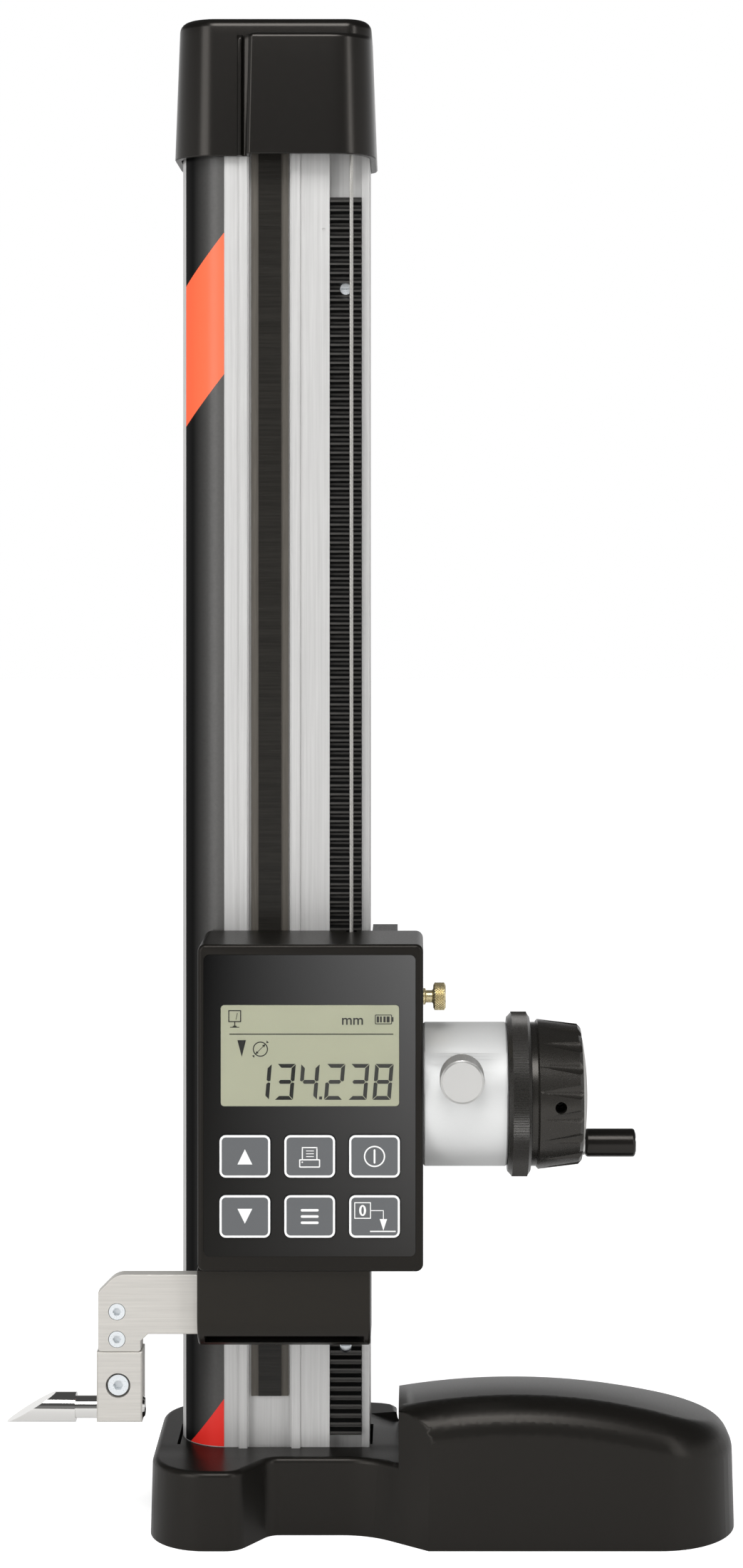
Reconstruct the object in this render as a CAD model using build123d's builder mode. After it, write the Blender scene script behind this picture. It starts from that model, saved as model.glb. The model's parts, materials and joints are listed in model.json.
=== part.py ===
import os
from math import acos, atan2, cos, degrees, hypot, pi, radians, sin, tan

from build123d import *

os.makedirs("parts", exist_ok=True)

# A height gauge: base, column with a scale and a rack, and a counterbalanced carriage.
# All sizes in millimetres. The origin is on the base's underside, below the column's middle;
# +Z is up and the front looks towards -Y.

# fits
running_gap = 0.05
slip_gap = 0.1
free_gap = 0.5

# column
column_width = 66.4
column_depth = 42.0
column_bottom = 20.5
column_top = 486.0
column_front = -column_depth / 2
column_back = column_depth / 2
column_side = column_width / 2
corner_radius = 16.0
rib_proud = 1.0
left_rib_start = -12.35
right_rib_start = 6.1
rib_width = 2.85
groove_start = -8.95
groove_end = 5.5
groove_depth = 3.0
rabbet_start = 19.3
rabbet_end = 30.5
rabbet_floor = -15.0
lip_front = -17.8
cavity_left = -29.0
cavity_right = 29.0
cavity_front = -15.0
cavity_front_right = -10.5
cavity_rear = 18.0
port_radius = 1.75
column_ports = [(-25.6, 14.6), (-24.0, -10.0), (13.5, -16.0), (27.6, 16.4)]
side_groove_front = -12.5
side_groove_rear = -8.5
side_groove_depth = 2.0

# rack and pinion
module = 1.0
pinion_teeth = 18
rack_bottom = 30.0
rack_end_gap = 22.3
pitch = pi * module
rack_teeth = int((column_top - rack_end_gap - rack_bottom) / pitch)
rack_start = rabbet_start + slip_gap
rack_end = rabbet_end - slip_gap
rack_tip = column_front
rack_root = rack_tip + 2.25 * module
rack_pitch_line = rack_tip + module
pinion_pitch_radius = module * pinion_teeth / 2
mesh_gap = 0.12
tooth_thinning = 0.1
pinion_start = 19.5
pinion_end = 25.0
pressure_angle = radians(20)
rack_screw_radius = 1.5
rack_screw_head = 2.1
rack_screw_heights = [rack_bottom + 31.5, column_top - 54.6]
rack_screw_x = 24.9

# scale
scale_bottom = 43.8
scale_top = column_top - 3.0
carrier_start = -8.2
carrier_end = 4.85
carrier_thickness = 1.3
glass_start = -5.6
glass_end = 2.3
glass_thickness = 1.0

# base casting
base_height = 26.5
base_left = -42.4
base_right = 43.3
base_front = -48.1
base_front_corner = 20.0
base_rear_corner = 18.0
base_rear_side = 27.5
base_rear_middle = 33.6
base_rear_points = [(43.3, 25.5), (41.2, 28.6), (37.5, 30.2)]
base_notch_radius = 6.0
nose_start = -15.6
nose_corner = 8.2
hollow_line = -33.0
hollow_corner = 6.0
sweep_start = 24.0
sweep_corner = 28.0
draft_angle = 1.5
base_edge = 2.0
hump_root = 20.0
hump_left = 43.5
hump_right = 160.5
hump_front = -48.0
hump_rear = 16.0
hump_end_radius = 28.0
hump_peak = 49.3
hump_peak_x = 84.0
hump_arc = 205.0
hump_edge = 12.0
socket_gap = 0.05
relief_depth = 1.5
land_width = 9.0
column_screw_radius = 2.1
column_screw_head = 3.6
head_pocket_depth = 6.0

# top cap
pulley_z = column_top + 18.0
pulley_rim = 16.6
cap_skirt = 8.8
cap_roof = 2.4
cap_head_room = 2.8
cap_step = 4.9
cap_wall = 2.4
cap_inner_top = pulley_z + pulley_rim + cap_head_room
cap_top = cap_inner_top + cap_roof
cap_panel_top = cap_top - cap_step
cap_bottom = column_top - cap_skirt
cap_half_width = column_side + cap_wall
cap_rear = column_back + cap_wall + 0.2
cap_front = column_front - cap_wall - 0.2
cap_panel_front = -31.0
cap_panel_start = -9.4
cap_draft = 2.2
cap_panel_wall = 3.0
cap_screw_y = 14.0
cap_screw_rise = 4.3

# counterbalance
wire_radius = 0.7
wire_front_x = 27.0
wire_front_y = -24.5
wire_back_x = 14.0
wire_back_y = 3.0
hook_z = 127.0
pulley_x = (wire_front_x + wire_back_x) / 2
pulley_y = (wire_front_y + wire_back_y) / 2
pulley_wire_radius = hypot(wire_front_x - wire_back_x, wire_front_y - wire_back_y) / 2
pulley_turn = degrees(atan2(wire_back_y - wire_front_y, wire_back_x - wire_front_x))
pulley_width = 5.0
axle_radius = 2.5
weight_width = 26.0
weight_depth = 25.0
weight_bottom = pulley_z - 210.0
weight_height = 140.0
weight_chamfer = 5.5
ferrule_radius = 3.0
ferrule_height = 7.0

# carriage and display housing
housing_left = -24.15
housing_right = 51.9
housing_bottom = 96.9
housing_top = 207.2
housing_front = -56.0
housing_rear = -22.6
housing_wall = 2.4
plate_front = -36.0
plate_rear = -23.3
plate_left = housing_left + housing_wall + 0.1
plate_bottom = housing_bottom + housing_wall + 0.1
plate_top = housing_top - housing_wall - 0.1
arm_inner = column_side + 1.1
arm_outer = 43.0
arm_rear = -6.2
foot_front = -40.5
foot_left = -20.0
foot_right = 30.0
foot_bottom = 71.5

housing_taps = [(-18.5, 103.6), (-18.5, 196.0), (31.4, 103.6), (31.4, 196.0)]

panel_left = -22.0
panel_right = 49.3
panel_bottom = 102.3
panel_top = 203.7
panel_front = -56.3
panel_rear = -55.4
panel_corner = 1.8
window_left = -16.3
window_right = 43.8
window_bottom = 152.8
window_top = 186.9
window_corner = 1.2
window_ledge = 1.5

key_width = 17.2
key_height = 14.4
key_corner = 2.2
key_front = -56.9
key_gap = 0.2
key_travel = 0.35
key_columns = [-8.1, 13.7, 35.5]
key_rows = [136.1, 115.9]
key_names = ["key_up", "key_print", "key_power", "key_down", "key_function", "key_zero"]
flange_front = housing_front + housing_wall
board_front = -46.2
board_thickness = 1.6
switch_front = -48.4

# arm, holder and insert
arm_front = -45.5
arm_thickness = 5.0
arm_low = 73.0
arm_high = 93.3
arm_left = -58.8
leg_left = -58.8
leg_right = -44.25
leg_foot = 67.0
arm_screw_x = -52.4
arm_screw_heights = [80.6, 71.2]
holder_left = -59.3
holder_right = -43.8
holder_low = 43.0
holder_depth = 10.0
insert_y = -41.3
insert_z = 47.05
shank_radius = 3.75
tip_radius = 5.0
tip_left = -90.3

# drive
drive_z = 151.7
drive_y = rack_pitch_line - pinion_pitch_radius - mesh_gap
shaft_radius = 3.5
bush_radius = 4.7
sleeve_radius = 24.5
sleeve_start = 52.0
sleeve_screw_circle = 16.5
sleeve_screw_angles = [-50, 0, 50]
sleeve_end = 80.7
nose_radius = 16.0
nose_end = 88.5
ring_radius = 28.0
ring_start = 80.9
ring_end = 88.7
ring_ridges = 90
ring_groove = 0.55
wheel_neck_start = 88.9
wheel_start = 90.9
wheel_end = 106.4
wheel_start_radius = 25.5
wheel_end_radius = 23.75
flute_count = 18
flute_turn = 8.0
flute_lead = 1.1
flute_tip_radius = 0.8
flute_depth = 1.2
crank_offset = 17.0
grip_radius = 4.8
grip_start = 108.0
grip_end = 125.3
grip_bore = 2.3
crank_pin_radius = 2.0
cover_radius = 21.0
cover_end = 108.7
lock_x = 64.9
lock_z = 162.7
lock_radius = 7.5
lock_front = -66.0
lock_rear = -53.8
lock_tip = -40.4
lock_stem = 2.9
thumb_z = 187.0
thumb_y = -39.0
thumb_radius = 4.75
thumb_start = 55.4
thumb_end = 59.6
thumb_stem = 2.05


def finish(built, name):
    built.part.label = name
    export_step(built.part, "parts/" + name + ".step")
    print(name, round(built.part.volume, 1))


def block(x0, x1, y0, y1, z0, z1, mode=Mode.ADD):
    with Locations(((x0 + x1) / 2, (y0 + y1) / 2, (z0 + z1) / 2)):
        Box(x1 - x0, y1 - y0, z1 - z0, mode=mode)


def rod_x(y, z, radius, x0, x1, mode=Mode.ADD):
    with BuildSketch(Plane.YZ.offset(x0)) as disc:
        with Locations((y, z)):
            Circle(radius)
    extrude(disc.sketch, amount=x1 - x0, mode=mode)


def rod_y(x, z, radius, y0, y1, mode=Mode.ADD):
    with BuildSketch(Plane.XZ.offset(-y1)) as disc:
        with Locations((x, z)):
            Circle(radius)
    extrude(disc.sketch, amount=y1 - y0, mode=mode)


def rod_z(x, y, radius, z0, z1, mode=Mode.ADD):
    with BuildSketch(Plane.XY.offset(z0)) as disc:
        with Locations((x, y)):
            Circle(radius)
    extrude(disc.sketch, amount=z1 - z0, mode=mode)


def slab_y(x0, x1, z0, z1, corner, y0, y1, mode=Mode.ADD):
    with BuildSketch(Plane.XZ.offset(-y1)) as plate:
        with Locations(((x0 + x1) / 2, (z0 + z1) / 2)):
            RectangleRounded(x1 - x0, z1 - z0, corner)
    extrude(plate.sketch, amount=y1 - y0, mode=mode)


def column_shape(grow):
    # the column's outline, grown by a clearance
    left = -column_side - grow
    right = column_side + grow
    front = column_front - grow
    rear = column_back + grow
    with BuildSketch() as shape:
        with BuildLine():
            Polyline((left, rear), (left, front), (right, front), (right, rear), close=True)
        make_face()
        corners = shape.vertices()
        fillet(corners.sort_by(Axis.X)[:2].sort_by(Axis.Y)[0], corner_radius + grow)
        fillet(shape.vertices().group_by(Axis.Y)[-1], 6 + grow)
    return shape.sketch


# ---------------------------------------------------------------- base casting
nose_turn = radians(35)
nose_end_x = nose_start + nose_corner * cos(nose_turn)
nose_end_y = base_front + nose_corner - nose_corner * sin(nose_turn)
hollow_turn = pi / 2 - nose_turn
hollow_start_y = hollow_line - hollow_corner * (1 - cos(hollow_turn))
hollow_start_x = nose_end_x + (hollow_start_y - nose_end_y) / tan(hollow_turn)
hollow_end_x = hollow_start_x + hollow_corner * sin(hollow_turn)
sweep_turn = radians(36)
sweep_end_x = sweep_start + sweep_corner * sin(sweep_turn)
sweep_end_y = hollow_line - sweep_corner * (1 - cos(sweep_turn))
crease_x = sweep_end_x + (sweep_end_y - hump_front) / tan(sweep_turn)
hump_turn_x = hump_right - hump_end_radius
notch_end_x = base_right + base_notch_radius
notch_end_y = hump_rear + base_notch_radius
corner_end_x = base_left + base_front_corner
corner_start_y = base_front + base_front_corner

with BuildPart() as outline_prism:
    with BuildSketch() as base_plan:
        with BuildLine():
            Line((base_left, base_rear_side), (base_left, corner_start_y))
            RadiusArc((base_left, corner_start_y), (corner_end_x, base_front), -base_front_corner)
            Line((corner_end_x, base_front), (nose_start, base_front))
            RadiusArc((nose_start, base_front), (nose_end_x, nose_end_y), -nose_corner)
            Line((nose_end_x, nose_end_y), (hollow_start_x, hollow_start_y))
            RadiusArc((hollow_start_x, hollow_start_y), (hollow_end_x, hollow_line), hollow_corner)
            Line((hollow_end_x, hollow_line), (sweep_start, hollow_line))
            RadiusArc((sweep_start, hollow_line), (sweep_end_x, sweep_end_y), sweep_corner)
            Line((sweep_end_x, sweep_end_y), (crease_x, hump_front))
            Line((crease_x, hump_front), (hump_turn_x, hump_front))
            RadiusArc((hump_turn_x, hump_front), (hump_right, hump_front + hump_end_radius), -hump_end_radius)
            Line((hump_right, hump_front + hump_end_radius), (hump_right, hump_rear - hump_end_radius))
            RadiusArc((hump_right, hump_rear - hump_end_radius), (hump_turn_x, hump_rear), -hump_end_radius)
            Line((hump_turn_x, hump_rear), (notch_end_x, hump_rear))
            RadiusArc((notch_end_x, hump_rear), (base_right, notch_end_y), base_notch_radius)
            Line((base_right, notch_end_y), base_rear_points[0])
            Line(base_rear_points[0], base_rear_points[1])
            Line(base_rear_points[1], base_rear_points[2])
            ThreePointArc(base_rear_points[2], (0, base_rear_middle), (base_left, base_rear_side))
        make_face()
        fillet(base_plan.vertices().group_by(Axis.X)[0].sort_by(Axis.Y)[-1], base_rear_corner)
    extrude(amount=60, taper=draft_angle)

with BuildPart() as low_base:
    add(outline_prism.part)
    split(bisect_by=Plane.XY.offset(base_height), keep=Keep.BOTTOM)
    fillet(low_base.edges().group_by(Axis.Z)[-1], base_edge)

with BuildPart() as hump:
    with BuildSketch():
        with BuildLine():
            Line((hump_root, hump_front), (hump_turn_x, hump_front))
            RadiusArc((hump_turn_x, hump_front), (hump_right, hump_front + hump_end_radius), -hump_end_radius)
            Line((hump_right, hump_front + hump_end_radius), (hump_right, hump_rear - hump_end_radius))
            RadiusArc((hump_right, hump_rear - hump_end_radius), (hump_turn_x, hump_rear), -hump_end_radius)
            Line((hump_turn_x, hump_rear), (hump_root, hump_rear))
            Line((hump_root, hump_rear), (hump_root, hump_front))
        make_face()
    extrude(amount=60, taper=draft_angle)
    with BuildSketch(Plane.XZ.offset(60)):
        with BuildLine():
            crown_end = hump_right + 9.5
            left_height = hump_peak - hump_arc + (hump_arc ** 2 - (hump_root - hump_peak_x) ** 2) ** 0.5
            right_height = hump_peak - hump_arc + (hump_arc ** 2 - (crown_end - hump_peak_x) ** 2) ** 0.5
            ThreePointArc((hump_root, left_height), (hump_peak_x, hump_peak), (crown_end, right_height))
            Polyline((crown_end, right_height), (crown_end, 0), (hump_root, 0), (hump_root, left_height))
        make_face()
    extrude(amount=-120, mode=Mode.INTERSECT)
    crown = hump.faces().filter_by(GeomType.CYLINDER).sort_by(Axis.Z)[-1]
    crown_edges = crown.edges().filter_by(lambda edge: edge.center().X > hump_root + 5)
    fillet(crown_edges, hump_edge)

with BuildPart() as base_casting:
    add(hump.part)
    add(outline_prism.part, mode=Mode.INTERSECT)
    split(bisect_by=Plane.YZ.offset(hump_left), keep=Keep.TOP)
    add(low_base.part)
    with BuildSketch(Plane.XY.offset(column_bottom)):
        add(column_shape(socket_gap))
        with Locations((-column_side - 0.5, -7), (column_side + 0.5, -7)):
            Rectangle(1.1, 22)
        with Locations((left_rib_start + rib_width / 2, column_front), (right_rib_start + rib_width / 2, column_front)):
            Rectangle(rib_width + 0.4, 3.0)
    extrude(amount=40, mode=Mode.SUBTRACT)
    with BuildSketch():
        with Locations((-13, -6)):
            RectangleRounded(44, 36, 5)
        with Locations((102, -16)):
            RectangleRounded(80, 40, 8)
        with Locations((0, 0)):
            Circle(15, mode=Mode.SUBTRACT)
    extrude(amount=relief_depth, mode=Mode.SUBTRACT)
    for port_x, port_y in column_ports:
        rod_z(port_x, port_y, column_screw_radius, -1, 22, mode=Mode.SUBTRACT)
        rod_z(port_x, port_y, column_screw_head + 0.3, -1, head_pocket_depth, mode=Mode.SUBTRACT)
finish(base_casting, "base_casting")

# ---------------------------------------------------------------- column
with BuildPart() as column_profile:
    with BuildSketch(Plane.XY.offset(column_bottom)):
        add(column_shape(0))
        for rib_start in (left_rib_start, right_rib_start):
            with Locations((rib_start + rib_width / 2, column_front)):
                Rectangle(rib_width, 2 * rib_proud)
        with Locations(((groove_start + groove_end) / 2, column_front)):
            Rectangle(groove_end - groove_start, 2 * groove_depth, mode=Mode.SUBTRACT)
        with Locations(((rabbet_start + rabbet_end) / 2, column_front)):
            Rectangle(rabbet_end - rabbet_start, 2 * (rabbet_floor - column_front), mode=Mode.SUBTRACT)
        with Locations(((rabbet_end + 35) / 2, column_front)):
            Rectangle(35 - rabbet_end, 2 * (lip_front - column_front), mode=Mode.SUBTRACT)
        with Locations((column_side, (side_groove_front + side_groove_rear) / 2)):
            Rectangle(2 * side_groove_depth, side_groove_rear - side_groove_front, mode=Mode.SUBTRACT)
    extrude(amount=column_top - column_bottom)
    with BuildSketch(Plane.XY.offset(column_bottom)) as hollow:
        with BuildLine():
            Polyline(
                (cavity_left, cavity_rear),
                (cavity_left, cavity_front),
                (16, cavity_front),
                (16, cavity_front_right),
                (cavity_right, cavity_front_right),
                (cavity_right, cavity_rear),
                close=True,
            )
        make_face()
        fillet(hollow.vertices().group_by(Axis.X)[0].sort_by(Axis.Y)[0], 11)
        for port_x, port_y in column_ports:
            with Locations((port_x, port_y)):
                Circle(3.9, mode=Mode.SUBTRACT)
        with Locations((-5, 1.5)):
            Rectangle(2.5, 40, mode=Mode.SUBTRACT)
    extrude(amount=column_top - column_bottom, mode=Mode.SUBTRACT)
    for port_x, port_y in column_ports:
        rod_z(port_x, port_y, port_radius, column_bottom, column_top, mode=Mode.SUBTRACT)
    for screw_z in rack_screw_heights:
        rod_y(rack_screw_x, screw_z, rack_screw_radius, -16, -12, mode=Mode.SUBTRACT)
    rod_y(17.3, column_top - 34, 0.6, column_front - 1, column_front + 0.3, mode=Mode.SUBTRACT)
finish(column_profile, "column_profile")

foil_start = degrees(atan2(-12.4 + 5.0, -31.3 + 17.2)) + 360
foil_end = 268.6
foil_end_gap = 2.2
foil_inner = corner_radius + 0.06
foil_outer = corner_radius + 0.2
with BuildPart() as column_foil:
    with BuildSketch(Plane.XY.offset(base_height + 0.3)):
        with BuildLine():
            CenterArc((-17.2, -5), foil_inner, foil_start, foil_end - foil_start)
            CenterArc((-17.2, -5), foil_outer, foil_start, foil_end - foil_start)
            for edge_angle in (foil_start, foil_end):
                edge_x = cos(radians(edge_angle))
                edge_y = sin(radians(edge_angle))
                Line(
                    (-17.2 + foil_inner * edge_x, -5 + foil_inner * edge_y),
                    (-17.2 + foil_outer * edge_x, -5 + foil_outer * edge_y),
                )
        make_face()
    extrude(amount=cap_bottom - foil_end_gap - base_height)
finish(column_foil, "column_foil")

with BuildPart() as column_screws:
    for port_x, port_y in column_ports:
        rod_z(port_x, port_y, column_screw_head, head_pocket_depth - 3.5, head_pocket_depth)
        rod_z(port_x, port_y, port_radius, head_pocket_depth, column_bottom + 12)
        with BuildSketch(Plane.XY.offset(head_pocket_depth - 3.5)):
            with Locations((port_x, port_y)):
                RegularPolygon(1.7, 6)
        extrude(amount=2, mode=Mode.SUBTRACT)
finish(column_screws, "column_screws")

# ---------------------------------------------------------------- rack
flank = tan(pressure_angle)
half_crest = pitch / 4 - tooth_thinning / 2 - module * flank
half_root = half_crest + 2.25 * module * flank
with BuildPart() as rack:
    with BuildSketch(Plane.YZ.offset(rack_start)):
        with BuildLine():
            rack_points = [(rabbet_floor, rack_bottom), (rack_root, rack_bottom)]
            for tooth in range(rack_teeth):
                middle = rack_bottom + pitch * (tooth + 0.5)
                rack_points.append((rack_root, middle - half_root))
                rack_points.append((rack_tip, middle - half_crest))
                rack_points.append((rack_tip, middle + half_crest))
                rack_points.append((rack_root, middle + half_root))
            rack_points.append((rack_root, rack_bottom + pitch * rack_teeth))
            rack_points.append((rabbet_floor, rack_bottom + pitch * rack_teeth))
            Polyline(*rack_points, close=True)
        make_face()
    extrude(amount=rack_end - rack_start)
    for screw_z in rack_screw_heights:
        rod_y(rack_screw_x, screw_z, rack_screw_head, rack_tip - 1, -17.4, mode=Mode.SUBTRACT)
        rod_y(rack_screw_x, screw_z, rack_screw_radius, rack_tip, rabbet_floor + 1, mode=Mode.SUBTRACT)
finish(rack, "rack")

with BuildPart() as rack_screws:
    for screw_z in rack_screw_heights:
        rod_y(rack_screw_x, screw_z, rack_screw_head - slip_gap, -18.9, -17.4)
        rod_y(rack_screw_x, screw_z, rack_screw_radius, -17.4, -12)
        block(rack_screw_x - 1.6, rack_screw_x + 1.6, -18.9, -18.2, screw_z - 0.25, screw_z + 0.25, Mode.SUBTRACT)
finish(rack_screws, "rack_screws")

# ---------------------------------------------------------------- scale
groove_floor = column_front + groove_depth
carrier_face = groove_floor - carrier_thickness
glass_face = carrier_face - glass_thickness
with BuildPart() as scale_carrier:
    block(carrier_start, carrier_end, carrier_face, groove_floor, scale_bottom, scale_top)
finish(scale_carrier, "scale_carrier")

with BuildPart() as scale_glass:
    block(glass_start, glass_end, glass_face, carrier_face, scale_bottom + 0.3, scale_top - 0.3)
finish(scale_glass, "scale_glass")

# ---------------------------------------------------------------- top cap
with BuildPart() as top_cap:
    with BuildSketch(Plane.XY.offset(cap_bottom)) as cap_plan:
        with Locations((0, (cap_rear + cap_front) / 2)):
            Rectangle(2 * cap_half_width, cap_rear - cap_front)
        fillet(cap_plan.vertices().sort_by(Axis.X)[:2].sort_by(Axis.Y)[0], corner_radius + 2)
        fillet(cap_plan.vertices().group_by(Axis.Y)[-1], 8)
    extrude(amount=cap_top - cap_bottom, taper=cap_draft)
    fillet(top_cap.edges().group_by(Axis.Z)[-1], 2.0)
    with BuildSketch(Plane.XY.offset(cap_bottom)) as panel_plan:
        with BuildLine():
            Polyline(
                (cap_panel_start, -10),
                (cap_panel_start, cap_panel_front),
                (cap_half_width, cap_panel_front),
                (cap_half_width, -10),
                close=True,
            )
        make_face()
        fillet(panel_plan.vertices().group_by(Axis.Y)[0].sort_by(Axis.X)[0], 2.2)
        fillet(panel_plan.vertices().group_by(Axis.Y)[0].sort_by(Axis.X)[-1], 9)
    extrude(amount=cap_panel_top - cap_bottom, taper=cap_draft)
    panel_lip = top_cap.edges().filter_by(lambda edge: abs(edge.center().Z - cap_panel_top) < 0.05)
    panel_lip = panel_lip.filter_by(lambda edge: edge.center().Y < -23.5)
    fillet(panel_lip, 1.5)
    block(cap_panel_start - 5.0, cap_panel_start - 2.1, cap_front - 1, cap_front + 3.6, cap_bottom, cap_top - 4)
    with BuildSketch(Plane.XY.offset(cap_bottom)):
        add(column_shape(slip_gap))
        for rib_start in (left_rib_start, right_rib_start):
            with Locations((rib_start + rib_width / 2, column_front)):
                Rectangle(rib_width + 2 * slip_gap, 2 * (rib_proud + slip_gap))
    extrude(amount=column_top - cap_bottom + 0.2, mode=Mode.SUBTRACT)
    hollow_left = cap_panel_start + cap_panel_wall
    hollow_right = cap_half_width - cap_panel_wall - 1.9
    hollow_front = cap_panel_front + cap_panel_wall
    hollow_rear = column_front + cap_panel_wall
    with BuildSketch(Plane.XY.offset(cap_bottom)) as panel_hollow:
        with Locations(((hollow_left + hollow_right) / 2, (hollow_front + hollow_rear) / 2)):
            Rectangle(hollow_right - hollow_left, hollow_rear - hollow_front)
        fillet(panel_hollow.vertices().group_by(Axis.Y)[0].sort_by(Axis.X)[-1], 5)
    extrude(amount=cap_panel_top - cap_roof - cap_bottom, mode=Mode.SUBTRACT)
    hollow_half_width = column_side - 1.95
    with BuildSketch(Plane.XY.offset(column_top)) as cap_hollow:
        with Locations((0, -0.2)):
            Rectangle(2 * hollow_half_width, column_depth - 1.8)
        fillet(cap_hollow.vertices().sort_by(Axis.X)[:2].sort_by(Axis.Y)[0], corner_radius - 1)
    extrude(amount=cap_inner_top - column_top, mode=Mode.SUBTRACT)
    for side in (-1, 1):
        hole_end = side * (cap_half_width + 0.4)
        hole_start = side * (column_side - 2.2)
        rod_x(cap_screw_y, cap_bottom + cap_screw_rise, 1.6, hole_end, hole_start, mode=Mode.SUBTRACT)
finish(top_cap, "top_cap")

with BuildPart() as cap_screws:
    for side in (-1, 1):
        screw_end = side * (cap_half_width - 0.6)
        screw_start = side * (column_side + slip_gap)
        rod_x(cap_screw_y, cap_bottom + cap_screw_rise, 1.5, screw_end, screw_start)
finish(cap_screws, "cap_screws")

# ---------------------------------------------------------------- pulley and wire
pulley_plane = Plane(
    origin=(pulley_x, pulley_y, pulley_z),
    x_dir=(wire_back_x - wire_front_x, wire_back_y - wire_front_y, 0),
    z_dir=(wire_back_y - wire_front_y, wire_front_x - wire_back_x, 0),
)

with BuildPart() as pulley:
    with BuildSketch(pulley_plane.offset(-pulley_width / 2)):
        Circle(pulley_rim)
    extrude(amount=pulley_width)
    with BuildSketch(Plane(pulley_plane.origin, x_dir=pulley_plane.x_dir, z_dir=(0, 0, 1))):
        with Locations((pulley_wire_radius + 1.2, 0)):
            Circle(wire_radius + 1.25)
    revolve(axis=Axis(pulley_plane.origin, pulley_plane.z_dir), mode=Mode.SUBTRACT)
    with BuildSketch(pulley_plane.offset(-pulley_width)):
        Circle(axle_radius + running_gap)
        with PolarLocations(8.5, 5):
            Circle(2.2)
    extrude(amount=2 * pulley_width, mode=Mode.SUBTRACT)
finish(pulley, "pulley")

with BuildPart() as pulley_bracket:
    for side in (-1, 1):
        with BuildSketch(pulley_plane.offset(side * (pulley_width / 2 + 1.6) - 1.1)):
            with BuildLine():
                Polyline((-7, -18), (7, -18), (7, 2), (-7, 2), close=True)
            make_face()
            Circle(7)
        extrude(amount=2.2)
    block(-28.0, 30.6, -13.0, 19.0, column_top, column_top + 2.4)
    slot_plane = Plane((pulley_x, pulley_y, column_top), x_dir=pulley_plane.x_dir, z_dir=(0, 0, 1))
    with BuildSketch(slot_plane):
        Rectangle(37.0, 6.6)
    extrude(amount=3, mode=Mode.SUBTRACT)
    with BuildSketch(pulley_plane.offset(-pulley_width - 2)):
        Circle(axle_radius)
    extrude(amount=2 * pulley_width + 4, mode=Mode.SUBTRACT)
    for port_x, port_y in [column_ports[0], column_ports[3]]:
        rod_z(port_x, port_y, port_radius + 0.3, column_top - 1, column_top + 4, mode=Mode.SUBTRACT)
finish(pulley_bracket, "pulley_bracket")

with BuildPart() as bracket_screws:
    for port_x, port_y in [column_ports[0], column_ports[3]]:
        rod_z(port_x, port_y, port_radius, column_top - 8, column_top + 2.4)
        rod_z(port_x, port_y, 3.3, column_top + 2.4, column_top + 4.9)
        with BuildSketch(Plane.XY.offset(column_top + 3.2)):
            with Locations((port_x, port_y)):
                RegularPolygon(1.5, 6)
        extrude(amount=3, mode=Mode.SUBTRACT)
finish(bracket_screws, "bracket_screws")

with BuildPart() as pulley_axle:
    with BuildSketch(pulley_plane.offset(-pulley_width - 0.4)):
        Circle(axle_radius)
    extrude(amount=2 * pulley_width + 0.8)
    with BuildSketch(pulley_plane.offset(pulley_width / 2 + 2.8)):
        Circle(axle_radius + 1.3)
    extrude(amount=1.0)
finish(pulley_axle, "pulley_axle")

with BuildPart() as wire_over_pulley:
    with BuildSketch(Plane(pulley_plane.origin, x_dir=pulley_plane.x_dir, z_dir=(0, 0, 1))):
        with Locations((pulley_wire_radius, 0)):
            Circle(wire_radius)
    revolve(axis=Axis(pulley_plane.origin, pulley_plane.z_dir), revolution_arc=180)
finish(wire_over_pulley, "wire_over_pulley")

with BuildPart() as wire_front:
    rod_z(wire_front_x, wire_front_y, wire_radius, hook_z, pulley_z)
finish(wire_front, "wire_front")

weight_top = weight_bottom + weight_height
with BuildPart() as wire_back:
    rod_z(wire_back_x, wire_back_y, wire_radius, weight_top + ferrule_height, pulley_z)
finish(wire_back, "wire_back")

with BuildPart() as counterweight:
    block(
        wire_back_x - weight_width / 2,
        wire_back_x + weight_width / 2,
        wire_back_y - weight_depth / 2,
        wire_back_y + weight_depth / 2,
        weight_bottom,
        weight_top,
    )
    chamfer(counterweight.edges().filter_by(Axis.Z), weight_chamfer)
    chamfer(counterweight.edges().group_by(Axis.Z)[0], 1)
    rod_z(wire_back_x, wire_back_y, ferrule_radius + 0.05, weight_top - 10, weight_top, mode=Mode.SUBTRACT)
finish(counterweight, "counterweight")

with BuildPart() as wire_ferrule:
    rod_z(wire_back_x, wire_back_y, ferrule_radius, weight_top - 10, weight_top + ferrule_height)
    chamfer(wire_ferrule.edges().group_by(Axis.Z)[-1], 0.8)
finish(wire_ferrule, "wire_ferrule")

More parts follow.
